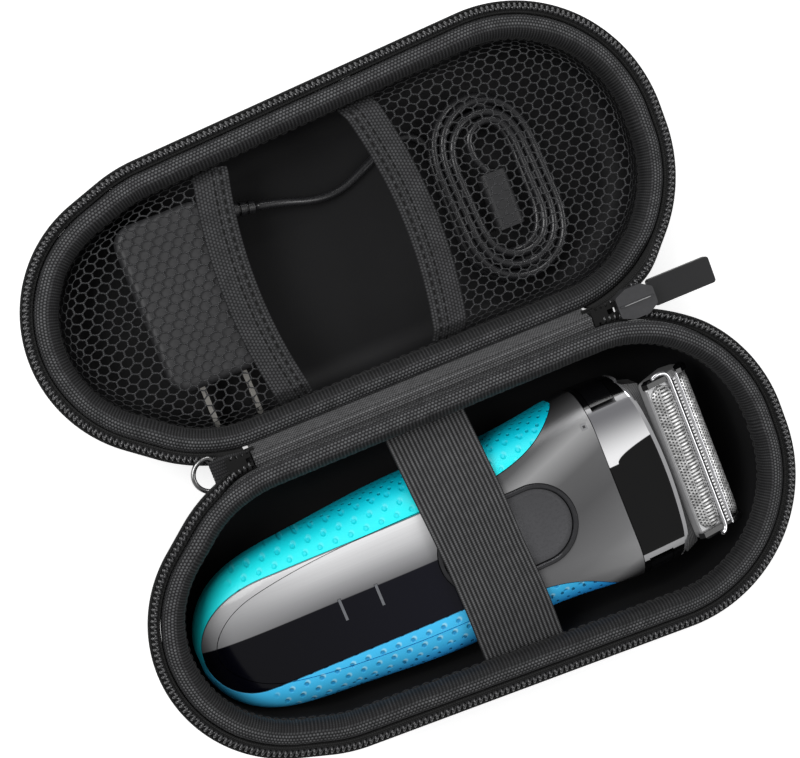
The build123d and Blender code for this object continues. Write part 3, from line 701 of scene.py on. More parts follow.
def into_gate(x, y, lid):
    """Height the rows lose or gain on their way to the closed chain by the hinge."""
    t = (RAMP_RIGHT - x) / 11.0 if x > 0 else (x - RAMP_LEFT) / 8.0
    t = min(1.0, max(0.0, t)) if abs(y) < 17 else 0.0
    return (1.0 if lid else -1.0) * GATE_DROP * t * t * (3 - 2 * t)


def open_rim():
    """The rim's points without the stretch along the hinge, in order."""
    inside = [GATE_LEFT < x < GATE_RIGHT and y > -12 for x, y, *_ in RIM]
    n = len(RIM)
    start = next(i for i in range(n) if inside[i - 1] and not inside[i])
    return [RIM[k % n] for k in range(start, start + n) if not inside[k % n]]


def open_bowl(profile, lid, z):
    """Profile carried round the rim, with a fan that closes its last row as a floor."""
    grid = swept(profile, lid, closed=False)
    columns = len(profile)
    ring = [i * columns + columns - 1 for i in range(len(RIM))]
    depth = CASE_WIDTH / 2 - SPINE
    grid.fan(ring, (0.0, depth if lid else -depth, z), flip=lid)
    return grid


def shell_skin(lid):
    height, corner, _ = sizes_of(lid)
    top = height - CAP
    profile = [(LINING_INSET, top - 6), (LINING_INSET, top), (SHELL_INSET, top),
               (SHELL_INSET, top - 4), (SHELL_INSET, (top + corner) / 2)]
    profile += arc(SHELL_INSET + corner, corner, corner, 180, 270, 10)
    return open_bowl(profile + [(SHELL_INSET + corner + 6, 0.0)], lid, 0.0)


def lining_skin(lid):
    height, corner, _ = sizes_of(lid)
    top, bend = height - CAP, corner - FLOOR_Z
    profile = [(LINING_INSET + 0.1, top), (INNER_INSET, top), (INNER_INSET, (top + bend) / 2)]
    profile += arc(INNER_INSET + bend, FLOOR_Z + bend, bend, 180, 270, 10)
    return open_bowl(profile + [(INNER_INSET + bend + 6, FLOOR_Z)], lid, FLOOR_Z)


def binding_ring(lid):
    """Tape folded over the rim: a full round crown with its inner edge laid on the lining."""
    low = sizes_of(lid)[0] - BIND_DROP
    half, crown_deep, steps = (BIND_IN - BIND_OUT) / 2, 3.9, 24
    foot = sizes_of(lid)[0] + 0.1 - crown_deep
    profile = [(BIND_OUT, low)]
    for i in range(steps + 1):
        a = pi * (1 - i / steps)
        rise = crown_deep * max(0.0, sin(a)) ** 0.8
        profile.append((BIND_OUT + half + half * cos(a), foot + rise))
    profile += [(BIND_IN, low + 1.2), (BIND_IN - 0.5, low), (INNER_INSET + 0.05, low + 0.2)]
    return swept(profile, lid, ripple=0.16, seed=3.0 if lid else 11.0)


def binding_stitches(lid):
    """Row of thread stitches low on the inside of the binding."""
    height, _, side = sizes_of(lid)
    z = height - BIND_DROP + 1.3
    pitch, length, radius, steps = 3.0, 2.1, 0.26, 5
    grid = Grid()
    for k in range(int(RIM_LENGTH / pitch)):
        spine = []
        for j in range(steps + 1):
            x, y, nx, ny = rim_at(k * pitch + length * j / steps)
            inset = BIND_IN + sin(pi * j / steps) * 0.22 - 0.05
            spine.append(Vector((x - inset * nx, side * (y - inset * ny), z)))
        tube_along(grid, spine, radius, 6, UP)
    return grid


def zip_tape(lid):
    """Tape under the coil, with a smooth cord sewn into its outer edge."""
    top, side = row_seat(lid), sizes_of(lid)[2]
    skirt = BIND_OUT - TAPE_THICK
    profile = [(BIND_OUT, top), (BIND_OUT, top - TAPE_SKIRT),
               (skirt, top - TAPE_SKIRT), (skirt, top - TAPE_THICK)]
    profile += arc(BEAD, top + 0.05, BEAD, 330, 30, 8)
    grid = swept(profile, lid, samples=open_rim())
    laid = []
    for x, y, z in grid.verts:
        shift = into_gate(x, y, lid)
        if abs(shift) > 0.3 * GATE_DROP:
            y = side * min(side * y, -0.75)
        laid.append((x, y, z + (shift if z > top - 1.2 or not lid else 0.0)))
    grid.verts = laid
    return grid


def coil_row(lid):
    """Nylon coil: a helix pressed flat, so that its top strands lie side by side."""
    side, seat, run = sizes_of(lid)[2], row_seat(lid), open_rim()
    first, length = run[0][4], RIM_LENGTH * len(run) / len(RIM)
    wire, steps, outer = 0.41, 14, 0.75
    width = TOOTH_LENGTH - 0.6
    a, b = width / 2 - wire, TOOTH_RISE / 2 - wire
    spine = []
    for k in range(int(length / TOOTH_PITCH) * steps):
        phase = (k % steps) / steps
        ahead = max(0.0, (phase - 0.5) * 2)
        x, y, nx, ny = rim_at(first + TOOTH_PITCH * (k // steps + ahead + (0.5 if lid else 0.0)))
        inset = outer + width / 2 + a * cos(2 * pi * phase)
        z = seat + TOOTH_RISE / 2 + b * sin(2 * pi * phase) + into_gate(x, y, lid)
        spine.append(Vector((x - inset * nx, side * (y - inset * ny), z)))
    rows = []
    for i, p in enumerate(spine):
        way = run_at(spine, i)
        _, _, nx, ny = rim_at(first + TOOTH_PITCH * i / steps)
        along = Vector((-ny, side * nx, 0))
        u = (along - way * way.dot(along)).normalized()
        rows.append(ring_about(p, u, way.cross(u), wire, 7))
    grid = Grid()
    grid.quad_rows(rows, lambda i, j: (i * 0.3, j * 0.4), close_v=True)
    return grid


def gate_web(lid):
    """Strips of tape under the closed chain, between the hinge cloth and the rows."""
    side = sizes_of(lid)[2]
    under = WEB_TOP - WEB_THICK
    section = ((WEB_NEAR, WEB_TOP), (WEB_FAR, WEB_TOP), (WEB_FAR, under), (WEB_NEAR, under))
    steps = 8
    grid = Grid()
    for low, high in ((WEB_LEFT, HINGE_LEFT + WEB_LAP), (HINGE_RIGHT - WEB_LAP, WEB_RIGHT)):
        stations = [low + (high - low) * i / steps for i in range(steps + 1)]
        rows = [[(x, side * y, z) for y, z in section] for x in stations]
        grid.closed_rows(rows, lambda i, j: (i * 1.5, j * 1.6), flip=lid, flip_ends=lid)
    return grid


def make_case(look):
    parts = (
        ("cover", shell_skin, "cover", "shell", "shell", True),
        ("inside", lining_skin, "lining", "lining", "lining", True),
        ("rolled_binding", binding_ring, "binding", "binding", "binding", True),
        ("binding_stitches", binding_stitches, "thread", "binding", None, True),
        ("tape", zip_tape, "tape", "zip_tape", "zip_tape", False),
        ("gate_web", gate_web, "tape", "zip_tape", None, False),
        ("coil", coil_row, "coil", "zip_teeth", "zip_teeth", True),
    )
    for lid, body in ((False, "base"), (True, "lid")):
        for name, grid_of, material, slot, node, smooth in parts:
            replaced = [f"{body}_{node}"] if node else []
            grid_of(lid).piece(f"{body}_{name}", body, look[material], slot, *replaced, smooth=smooth)


# ---------------------------------------- fabric hinge
def cloth_leaf(name, profile, thick, flare, look):
    """Strip of cloth along the hinge: profile is (y, z) from the sewn edge to the fold."""
    steps = 150
    line = [Vector((y, z)) for y, z in profile]
    lifts = [run_at(line, i).orthogonal() * (thick / 2) for i in range(len(line))]
    loop = [tuple(p + n) for p, n in zip(line, lifts)]
    loop += [tuple(p - n) for p, n in zip(line[::-1], lifts[::-1])]
    width = HINGE_RIGHT - HINGE_LEFT
    rows = []
    for i in range(steps + 1):
        x = HINGE_LEFT + width * i / steps
        rows.append([(x, y, z + flare * noise.noise(Vector((x * 0.12, y * 0.3, 2.0)))) for y, z in loop])
    runs = lengths_round(loop)
    grid = Grid()
    grid.closed_rows(rows, lambda i, j: (width * i / steps, runs[j]))
    body = name.split("_")[-1]
    grid.piece(name, body, look["hinge"], "hinge_fabric", f"{body}_hinge_gusset")


def make_hinge(look):
    """Base leaf rolled round the fold, and lid leaf that runs down to the lid's spine."""
    edge, bead = SPINE - BIND_OUT, 0.54
    fold = [(bead * cos(radians(a)), HINGE_Z + bead * sin(radians(a))) for a in range(150, -151, -30)]
    sewn = [(edge, HINGE_Z + 0.1), (edge * 0.5, HINGE_Z + 0.15)]
    cloth_leaf("hinge_cloth_base", sewn + fold, 0.7, 0.12, look)
    start, end = Vector((0.85, HINGE_Z - 1.0)), Vector((BIND_OUT - SPINE + 0.5, LID_HEIGHT - 2.0))
    cloth_leaf("hinge_cloth_lid", [tuple(start.lerp(end, t / 4)) for t in range(5)], 0.6, 0.1, look)


# ---------------------------------------- strap
STRAP_WIDTH, STRAP_THICK, STRAP_TURN = 24.0, 1.2, radians(3.0)
STRAP_MID, STRAP_LOW = 36.4, 30.9


def make_strap(look):
    """Ribbed elastic over the shaver, sewn to both side walls."""
    side_y = SPINE - CASE_WIDTH + INNER_INSET + 0.5
    back_y = SPINE - INNER_INSET - 0.5
    sewn, crown, step = 3.6, 15, 0.8
    line = smooth_line([(0, side_y, STRAP_LOW), (0, side_y + sewn, STRAP_LOW),
                        (0, SHAVER_Y - crown, STRAP_MID), (0, SHAVER_Y, STRAP_MID + 0.1),
                        (0, SHAVER_Y + crown, STRAP_MID),
                        (0, back_y - sewn, STRAP_LOW), (0, back_y, STRAP_LOW)], 5.0, step)
    cols, rib_deep, edge_deep = 120, 0.13, 0.35
    c, s = cos(STRAP_TURN), sin(STRAP_TURN)
    rows = []
    for i, p in enumerate(line):
        run = run_at(line, i)
        up = Vector((0, -run.z, run.y))
        pull_in = 1.0 - 0.03 * max(0.0, 1 - abs(p.y - SHAVER_Y) / 20)
        row = []
        for sign, j in round_band(cols):
            w = STRAP_WIDTH * (j / cols - 0.5)
            rib = 0.5 + 0.5 * cos(2 * pi * w / STRAP_RIB)
            edge = max(0.0, 1 - (STRAP_WIDTH / 2 - abs(w)) / 0.6)
            half = STRAP_THICK / 2 - rib_deep * (1 - rib) - edge_deep * edge
            v = Vector((w * pull_in, p.y, p.z)) + up * (sign * half)
            x, y = v.x, v.y - SHAVER_Y
            row.append(Vector((x * c - y * s, SHAVER_Y + x * s + y * c, v.z)))
        rows.append(row)
    grid = Grid()
    grid.quad_rows(rows, lambda i, j: (across_band(j, cols, STRAP_WIDTH), step * i), close_v=True)
    strap = grid.piece("ribbed_strap", None, look["elastic"], "strap", "elastic_strap")
    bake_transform(strap)


# ---------------------------------------- mesh pockets
POCKET_EDGE_Z, POCKET_TOP_Z, POCKET_SLOPE = 17.0, 25.8, 5.8
POCKET_INSET = 7.9
POCKET_RISE = POCKET_TOP_Z - POCKET_EDGE_Z
BAND_RADIUS, BAND_WIDTH, BAND_THICK = 135.0, 10.0, 1.3
LEFT_EDGE, RIGHT_EDGE = -30.8, 13.8
BAND_MIDDLE = CASE_WIDTH / 2 - SPINE - 4.5
NET_PITCH, NET_HALF, NET_SQUASH = 3.3, 0.23, 0.8


def nearest_rim(points):
    """Inset of each (x, y) of the lid, with the outward normal there."""
    rim = np.array([p[:4] for p in RIM[::3]])
    mirror = np.array([1.0, -1.0])
    pts = np.array(points, float) * mirror
    gaps = (rim[None, :, 0] - pts[:, None, 0]) * rim[None, :, 2]
    gaps += (rim[None, :, 1] - pts[:, None, 1]) * rim[None, :, 3]
    best = gaps.argmin(axis=1)
    return gaps[np.arange(len(pts)), best], rim[best][:, 2:4] * mirror


def net_places(flat):
    """Carries flat net points onto the tray: evenly stretched down its slope."""
    inset, normal = nearest_rim(flat)
    slant, full = hypot(POCKET_SLOPE, POCKET_RISE), POCKET_INSET + POCKET_SLOPE
    down = np.clip(full - inset, 0.0, slant)
    move = np.where(inset < full, full - down * POCKET_SLOPE / slant - inset, 0.0)
    return flat - normal * move[:, None], POCKET_TOP_Z - down * POCKET_RISE / slant


def cell_centres(edge, side):
    """Middles of the net's cells that lie between the tray's wall and the pocket's mouth."""
    start_x, start_y = 1.1, 46.0
    centres = np.array([(col * NET_PITCH + (row % 2) * NET_PITCH / 2 + start_x,
                         row * NET_PITCH * sqrt(3) / 2 * NET_SQUASH + start_y)
                        for row in range(-50, 50) for col in range(-40, 40)])
    near, _ = nearest_rim(centres)
    mouth = np.hypot(centres[:, 0] - edge + side * BAND_RADIUS, centres[:, 1] - BAND_MIDDLE) - BAND_RADIUS
    wall = POCKET_INSET + POCKET_SLOPE - hypot(POCKET_SLOPE, POCKET_RISE)
    return centres[(near > wall + 0.4) & (mouth > BAND_WIDTH - 2.2) & (centres[:, 0] * side > 0)]


def drift_at(x, y, scale, level):
    return noise.noise(Vector((x * scale, y * scale, level)))


def make_net(name, edge, side, look):
    """Knitted net: a rounded thread round each of its six-sided holes."""
    cell, corners = NET_PITCH / sqrt(3), 12
    centres = cell_centres(edge, side)
    flats, heights = [], []
    section = ((1.0, 0.92), (0.93, 0.72), (0.86, 0.0), (0.93, -0.72), (1.0, -0.92))
    for cx, cy in centres:
        wobble = drift_at(cx, cy, 0.6, 0.0) * 0.05
        for scale, lift in section:
            for k in range(corners):
                corner = k % 2 == 0
                reach = cell if corner else NET_PITCH / 2
                if scale < 1:
                    thread = NET_HALF * (1 - scale) / 0.14
                    reach += (wobble if corner else -wobble) - thread * (1.32 if corner else 1.0)
                a = 2 * pi * (k + 1) / corners
                flats.append((cx + reach * cos(a), cy + reach * sin(a) * NET_SQUASH))
                heights.append(lift * NET_HALF)
    drift = [(drift_at(x, y, 0.09, 1.0) * 0.8, drift_at(x, y, 0.09, 8.0) * 0.8) for x, y in flats]
    bulge = [0.35 + 0.45 * drift_at(x, y, 0.07, 4.0) for x, y in flats]
    flats = np.array(flats)
    plan, level = net_places(flats + np.array(drift))
    net = Grid()
    net.verts = [(x, y, z + b + h) for (x, y), z, b, h in zip(plan, level, bulge, heights)]
    for base in range(0, len(flats), corners * len(section)):
        for first in range(base, base + corners * (len(section) - 1), corners):
            for k in range(corners):
                a, b = first + k, first + (k + 1) % corners
                face = (a, b, b + corners, a + corners)
                net.add(face, [net.verts[i][:2] for i in face])
    net = net.piece(name, "lid", look["net"], "mesh", name.replace("_net", "_pocket_mesh"))
    wide, long = flats.max(axis=0) - flats.min(axis=0)
    wide * MM
    long * MM


def make_band(name, edge, side, look):
    """Folded elastic along a pocket's mouth, over the net's edge."""
    centre = edge - side * BAND_RADIUS
    steps, cols, reach = 110, 12, 0.32
    gather_pitch = 2.3
    rows = []
    for i in range(steps + 1):
        a = reach * (2 * i / steps - 1)
        radii = [BAND_RADIUS + BAND_WIDTH * j / cols for j in range(cols + 1)]
        plan = [(centre + side * r * cos(a), BAND_MIDDLE + r * sin(a)) for r in radii]
        inset, _ = nearest_rim(plan)
        if inset.min() < POCKET_INSET - 0.2:
            continue
        climb = (inset - POCKET_INSET) * (POCKET_RISE / POCKET_SLOPE)
        level = np.clip(POCKET_EDGE_Z + climb, POCKET_EDGE_Z, POCKET_TOP_Z)
        row = []
        for sign, j in round_band(cols):
            t = j / cols
            plump = sqrt(max(0.0, 1 - (2 * t - 1) ** 8))
            gather = 0.045 * sin(2 * pi * len(rows) / gather_pitch) * plump * (t < 0.9)
            row.append((*plan[j], level[j] + BAND_THICK / 2 + 0.1 + sign * (0.12 + 0.5 * plump + gather)))
        rows.append(row)
    step = BAND_RADIUS * reach * 2 / steps
    grid = Grid()
    grid.closed_rows(rows, lambda i, j: (i * step, across_band(j, cols, BAND_WIDTH)))
    grid.piece(name, "lid", look["hem"], "pocket_elastic", name.replace("_hem", "_pocket_elastic"))


def make_pockets(look):
    make_band("left_hem", LEFT_EDGE, -1, look)
    make_band("right_hem", RIGHT_EDGE, 1, look)
    make_net("left_net", LEFT_EDGE, -1, look)
    make_net("right_net", RIGHT_EDGE, 1, look)


# ---------------------------------------- cord
CORD = 2.4
RELIEF_ROOT = Vector((-34.5, 66.5, 13.4))
RELIEF_RUN = Vector((12.3, -2.4, -2.0)).normalized()
COIL_X, COIL_Y = 47.0, 44.0
COIL_LENGTH, COIL_WIDTH, COIL_BAND = 58.0, 33.0, 8.5


def stadium(half_width, half_length, t):
    """Point of a stadium with its long axis along Y, once round for t from 0 to 1."""
    flat = half_length - half_width
    bend = pi * half_width
    s = (t % 1.0) * (4 * flat + 2 * bend)
    way = -1
    if s >= 2 * flat + bend:
        s -= 2 * flat + bend
        way = 1
    if s < 2 * flat:
        return (way * half_width, way * (s - flat))
    a = (s - 2 * flat) / half_width
    return (way * half_width * cos(a), way * (flat + half_width * sin(a)))


def hank_points():
    """Turns of the wound cord, three beside each other on three layers that lie loosely askew."""
    mid_w, mid_l = (COIL_WIDTH - COIL_BAND) / 2, (COIL_LENGTH - COIL_BAND) / 2
    lanes = [2.75, 0.15, -2.45]
    lowest, layer_pitch = 5.2, 2.45
    lay = [(-2.6, 0.4, -0.6), (1.2, -0.5, 0.5), (3.4, 0.3, -0.4)]
    spots = []
    for layer in range(3):
        order = lanes if layer % 2 == 0 else lanes[::-1]
        spots += [(lane, lowest + layer_pitch * layer, *lay[layer]) for lane in order]
    spots.append(spots[-1])
    per, last, change_at = 16, 11, 0.72
    points = []
    for turn in range(9):
        here, there = spots[turn], spots[turn + 1]
        for k in range(per if turn < 8 else last):
            t = k / per
            on = min(1.0, max(0.0, (t - change_at) / (1 - change_at)))
            on = on * on * (3 - 2 * on)
            lane, z, skew, dx, dy = (a + (b - a) * on for a, b in zip(here, there))
            x, y = stadium(mid_w + lane, mid_l + lane * 1.35 - 0.5, t)
            c, s = cos(radians(skew)), sin(radians(skew))
            points.append((COIL_X + dx + x * c - y * s, COIL_Y + dy + x * s + y * c, z))
    return points


def spline_line(route):
    """Points along the NURBS spline that has the route as its control points, in metres."""
    data = bpy.data.curves.new("cord_line", "CURVE")
    data.dimensions = "3D"
    spline = data.splines.new("NURBS")
    spline.points.add(len(route) - 1)
    for p, at in zip(spline.points, route):
        p.co = (at[0] * MM, at[1] * MM, at[2] * MM, 1.0)
    spline.order_u = 3
    spline.use_endpoint_u = True
    spline.resolution_u = 6
    line = bpy.data.objects.new("cord_line", data)
    bpy.context.scene.collection.objects.link(line)
    mesh = bpy.data.meshes.new_from_object(line.evaluated_get(bpy.context.evaluated_depsgraph_get()))
    points = [v.co.copy() for v in mesh.vertices]
    bpy.data.meshes.remove(mesh)
    bpy.data.objects.remove(line)
    return points


def make_cord(look):
    """Sheath from the charger's relief to the wound hank and on to the plug's tail."""
    end = RELIEF_ROOT + RELIEF_RUN * 12.5
    lead = end + RELIEF_RUN * 7.5
    route = [
        tuple(end), tuple(lead),
        (-5.5, 59.6, 6.8), (3.0, 59.3, 5.2),
        (11.5, 62.6, 5.2), (20.0, 66.8, 5.3),
        (27.8, 67.8, 5.3), (32.6, 63.6, 5.2),
    ]
    tail = [(56.6, 56.0, 10.2), (54.6, 62.2, 9.9), (49.0, 64.0, 9.3), (43.6, 60.6, 8.6),
            (43.6, 54.2, 7.9), (46.2, 49.6, 7.4), (47.0, 46.4, 7.2)]
    path = spline_line(route + hank_points() + tail)
    sides = 12
    rows, runs = [], [0.0]
    up = UP
    for i, p in enumerate(path):
        run = run_at(path, i)
        up = (up - run * run.dot(up)).normalized()
        rows.append(ring_about(p / MM, up, run.cross(up), CORD / 2, sides))
        if i:
            runs.append(runs[-1] + (p - path[i - 1]).length / MM)
    grid = Grid()
    grid.closed_rows(rows, lambda i, j: (runs[i], j * pi * CORD / sides), flip=True)
    cord = grid.piece("power_cord", "lid", look["cord"], "cord", "charger_cord", "cord_coil", "cord_tail")


# ---------------------------------------- webbing of the key ring
def make_web_loop(look):
    """Ribbed webbing folded round the ring's straight side and laid below the hinge."""
    x1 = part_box("ring_webbing")[1][0] / MM
    low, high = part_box("key_ring")
    ring_z = (low[2] + high[2]) / 2 / MM
    ring_x = high[0] / MM - 0.7
    eye, lead, thick, step = 0.9 + 0.3, 4, 0.55, 0.35
    bend = [(ring_x + eye * cos(radians(a)), 0, ring_z + eye * sin(radians(a))) for a in range(90, 271, 15)]
    over = [(x1, 0, ring_z + eye), (ring_x + lead, 0, ring_z + eye)]
    under = [(ring_x + lead, 0, ring_z - eye), (x1, 0, ring_z - eye)]
    line = smooth_line(over + bend + under, 0.3, step)
    cols, rib_pitch, rib = 28, 0.9, 0.05
    rows = []
    for i, p in enumerate(line):
        run = run_at(line, i)
        up = Vector((-run.z, 0, run.x))
        half_w = 3.5 - 1.0 * min(1.0, max(0.0, (p.x - (ring_x + lead)) / 6))
        row = []
        for sign, j in round_band(cols):
            w = (2 * j / cols - 1) * half_w
            lift = thick / 2 - 0.06 + rib * cos(2 * pi * w / rib_pitch)
            row.append(Vector((p.x, w, p.z)) + up * (sign * lift))
        rows.append(row)
    grid = Grid()
    grid.quad_rows(rows, lambda i, j: (step * i, across_band(j, cols, 7.0)), close_v=True)
    grid.piece("ring_loop_webbing", "zip_ends", look["webbing"], "webbing", "ring_webbing")


# ---------------------------------------- shaver head
# Outlines are (s, z): the run along the shaver and the height, both in mm.
HEAD_HALF = 24.6
HEAD_BLOCK = [(144.9, 30.8), (146.4, 33.6), (146.9, 33.9), (154.6, 32.2), (157.6, 30.9), (161.9, 26.2),
              (161.8, 24.6), (160.8, 20.9), (157.0, 19.0), (147.6, 27.6)]
FOIL_A = ((147.1, 34.0), (154.3, 32.5), 1.35)
FOIL_B = ((157.6, 31.2), (161.7, 26.9), 1.1)
TRIMMER_BAR = [(156.05, 32.85), (156.85, 32.4), (156.6, 29.9), (155.9, 30.4)]
TRIMMER_GAP = [(155.38, 33.1), (156.1, 33.0), (156.1, 31.4), (155.6, 31.4)]
TOOTH = [(155.4, 33.3), (156.15, 33.25), (156.1, 31.6), (155.5, 31.6)]
TOOTH_COUNT, TOOTH_REACH, TOOTH_HALF = 44, 22.4, 0.26
FRAME_WIRE = [(149.0, 24.9, 34.0), (150.6, 25.6, 34.0), (152.4, 25.5, 33.6), (153.8, 24.9, 33.2),
              (154.5, 23.6, 33.0), (154.55, 0.0, 33.0), (154.5, -23.6, 33.0), (153.8, -24.9, 33.2),
              (152.6, -25.3, 33.5)]
CROSS_WIRE = [(157.25, 24.0, 31.95), (157.3, 0.0, 31.95), (157.25, -24.0, 31.95)]
OUTER_CAP = [(157.8, 31.5), (159.4, 31.2), (162.1, 28.1), (162.0, 26.0), (160.5, 25.2), (157.8, 28.6)]
INNER_CAP = [(145.8, 33.4), (147.2, 34.5), (153.7, 33.2), (154.1, 32.4), (153.8, 31.4), (146.2, 32.0)]


def on_shaver(s, w, z):
    c, d = cos(SHAVER_TURN), sin(SHAVER_TURN)
    return Vector((SHAVER_X + s * c - w * d, SHAVER_Y + s * d + w * c, z))


def bar_between(profile, half, close_ends=0.0):
    """Closed (s, z) profile carried across the head, drawn in towards its middle at both ends."""
    steps = 28
    cs = sum(p[0] for p in profile) / len(profile)
    cz = sum(p[1] for p in profile) / len(profile)
    places = [-half * cos(pi * i / steps) for i in range(steps + 1)]
    rows = []
    for w in places:
        draw = max(0.0, (abs(w) - (half - close_ends)) / close_ends) if close_ends else 0.0
        keep = 1.0 - 0.22 * (1 - sqrt(max(0.0, 1 - draw ** 2)))
        rows.append([on_shaver(cs + (a - cs) * keep, w, cz + (b - cz) * keep) for a, b in profile])
    runs = lengths_round(profile)
    grid = Grid()
    grid.closed_rows(rows, lambda i, j: (runs[j], places[i]), flip=True)
    return grid


def foil_arch(ends, half):
    """Arched foil with round ends, from one (s, z) edge to the other."""
    (s0, z0), (s1, z1), rise = ends
    wide = hypot(s1 - s0, z1 - z0)
    nx, nz = (z0 - z1) / wide, (s1 - s0) / wide
    cols, steps, depth = 16, 60, 2.2

    def at(m, w, lift):
        return on_shaver(s0 + (s1 - s0) * m + nx * lift, w, z0 + (z1 - z0) * m + nz * lift)

    rows = []
    places = [half * (2 * i / steps - 1) for i in range(steps + 1)]
    for w in places:
        over = max(0.0, (abs(w) - (half - wide / 2)) / (wide / 2))
        room = max(0.12, sqrt(max(0.0, 1 - over ** 2)))
        across = [2 * j / cols - 1 for j in range(cols + 1)]
        row = [at((1 + t * room) / 2, w, rise * (1 - t * t) * (0.35 + 0.65 * room)) for t in across]
        rows.append(row + [at((1 + room) / 2, w, -depth), at((1 - room) / 2, w, -depth)])
    grid = Grid()
    grid.closed_rows(rows, lambda i, j: (wide * min(j, cols) / cols, places[i]), flip=True)
    return grid


def toothed_bar():
    """Trimmer bar with a row of short teeth along its top."""
    grid = bar_between(TRIMMER_BAR, 22.8)
    for i in range(TOOTH_COUNT):
        w = TOOTH_REACH * (2 * i / (TOOTH_COUNT - 1) - 1)
        base = len(grid.verts)
        grid.verts.extend(on_shaver(a, w + d, z) for a, z in TOOTH for d in (-TOOTH_HALF, TOOTH_HALF))
        for face in ((0, 1, 3, 2), (2, 3, 5, 4), (4, 5, 7, 6), (6, 7, 1, 0), (0, 2, 4, 6), (1, 7, 5, 3)):
            grid.add([base + q for q in face])
    return grid


def frame_wires():
    grid = Grid()
    for points, radius in ((FRAME_WIRE, 0.66), (CROSS_WIRE, 0.42)):
        tube_along(grid, smooth_line([on_shaver(*q) for q in points], 2.0, 0.7), radius, 8, UP)
    return grid


def corner_caps():
    """Black caps over the head's four corners, each drawn in to its middle at its end."""
    grid = Grid()
    for side in (1, -1):
        for cap, near, mid in ((OUTER_CAP, 22.9, (160.0, 28.4)), (INNER_CAP, 22.7, (150.2, 32.9))):
            rows = [[on_shaver(a, side * w, z) for a, z in cap] for w in (near, 24.2, 24.9)]
            middle = on_shaver(mid[0], side * 24.9, mid[1])
            rows[2] = [p + (middle - p) * 0.25 for p in rows[2]]
            grid.closed_rows(rows, lambda i, j: (i, j), flip=side > 0, flip_ends=side < 0)
    return grid


def head_bellows():
    """Ribbed rubber between the collar and the head, with a plain underside."""
    ribs, cols, half, steps = 6, 36, 26.6, 36
    rows = []
    for i in range(steps + 1):
        t = i / steps
        wave = 0.32 * sin(2 * pi * ribs * t)
        row = []
        for j in range(cols + 1):
            w = half * (2 * j / cols - 1) * (1 - 0.06 * t)
            s0, s1 = 144.1 - 0.00375 * w * w, 145.2 + 0.0012 * w * w
            z = 33.6 - 2.4 * t - 2.6 * max(0.0, (abs(w) - 22.5) / 4.1) ** 2
            row.append(on_shaver(s0 + (s1 - s0) * t + wave * 0.3, w, z + wave))
        rows.append(row)
    down = on_shaver(147.0, 0, 22.0) - on_shaver(146.0, 0, 33.0)
    first, last = rows[0], rows[-1]
    under = [[p + down for p in row] for row in (first, last)]
    grid = Grid()
    for sheet, run, flip in ((rows, 0.2, False), ([first, under[0]], 9.0, True),
                             ([last, under[1]], 9.0, False), (under, 3.0, True)):
        grid.quad_rows(sheet, lambda i, j: (i * run, j * 1.4), flip=flip)
    return grid


def make_head(look):
    bezel, gloss = look["bezel"], look["release"]
    block = bar_between(HEAD_BLOCK, HEAD_HALF, 3.0)
    block.piece("head_cassette", "shaver", bezel, "cassette", "cassette_frame", smooth=False)
    foil_arch(FOIL_A, 22.4).piece("foil_wide", "upper_foil", look["foil_a"], "foil", "foil_upper")
    foil_arch(FOIL_B, 22.6).piece("foil_steep", "lower_foil", look["foil_b"], "foil", "foil_lower")
    bar, gap = toothed_bar(), bar_between(TRIMMER_GAP, 22.3)
    bar.piece("toothed_bar", "trimmer", look["trimmer"], "trimmer", "centre_trimmer", smooth=False)
    gap.piece("toothed_gap", "trimmer", gloss, "trimmer", smooth=False)
    frame_wires().piece("head_frame_wire", "shaver", look["trim"], "trim")
    corner_caps().piece("head_corner_caps", "shaver", gloss, "cassette", smooth=False)
    head_bellows().piece("head_bellows", "shaver", look["skirt"], "skirt", "head_skirt")


def make_slider_ridge_highlight(look):
    """Thin ridge along the middle of the slider's top, in a light grey that paints the highlight along it.
    """
    ridge_z, radius = 35.66, 0.14
    grid = Grid()
    line = [Vector((x, 0.0, ridge_z)) for x in (62.8, 65.0, 68.0, 71.0)]
    tube_along(grid, line, radius, 6, Vector((0, 1, 0)))
    grid.piece("slider_ridge", "slider", look["bezel"], "zip_slider")


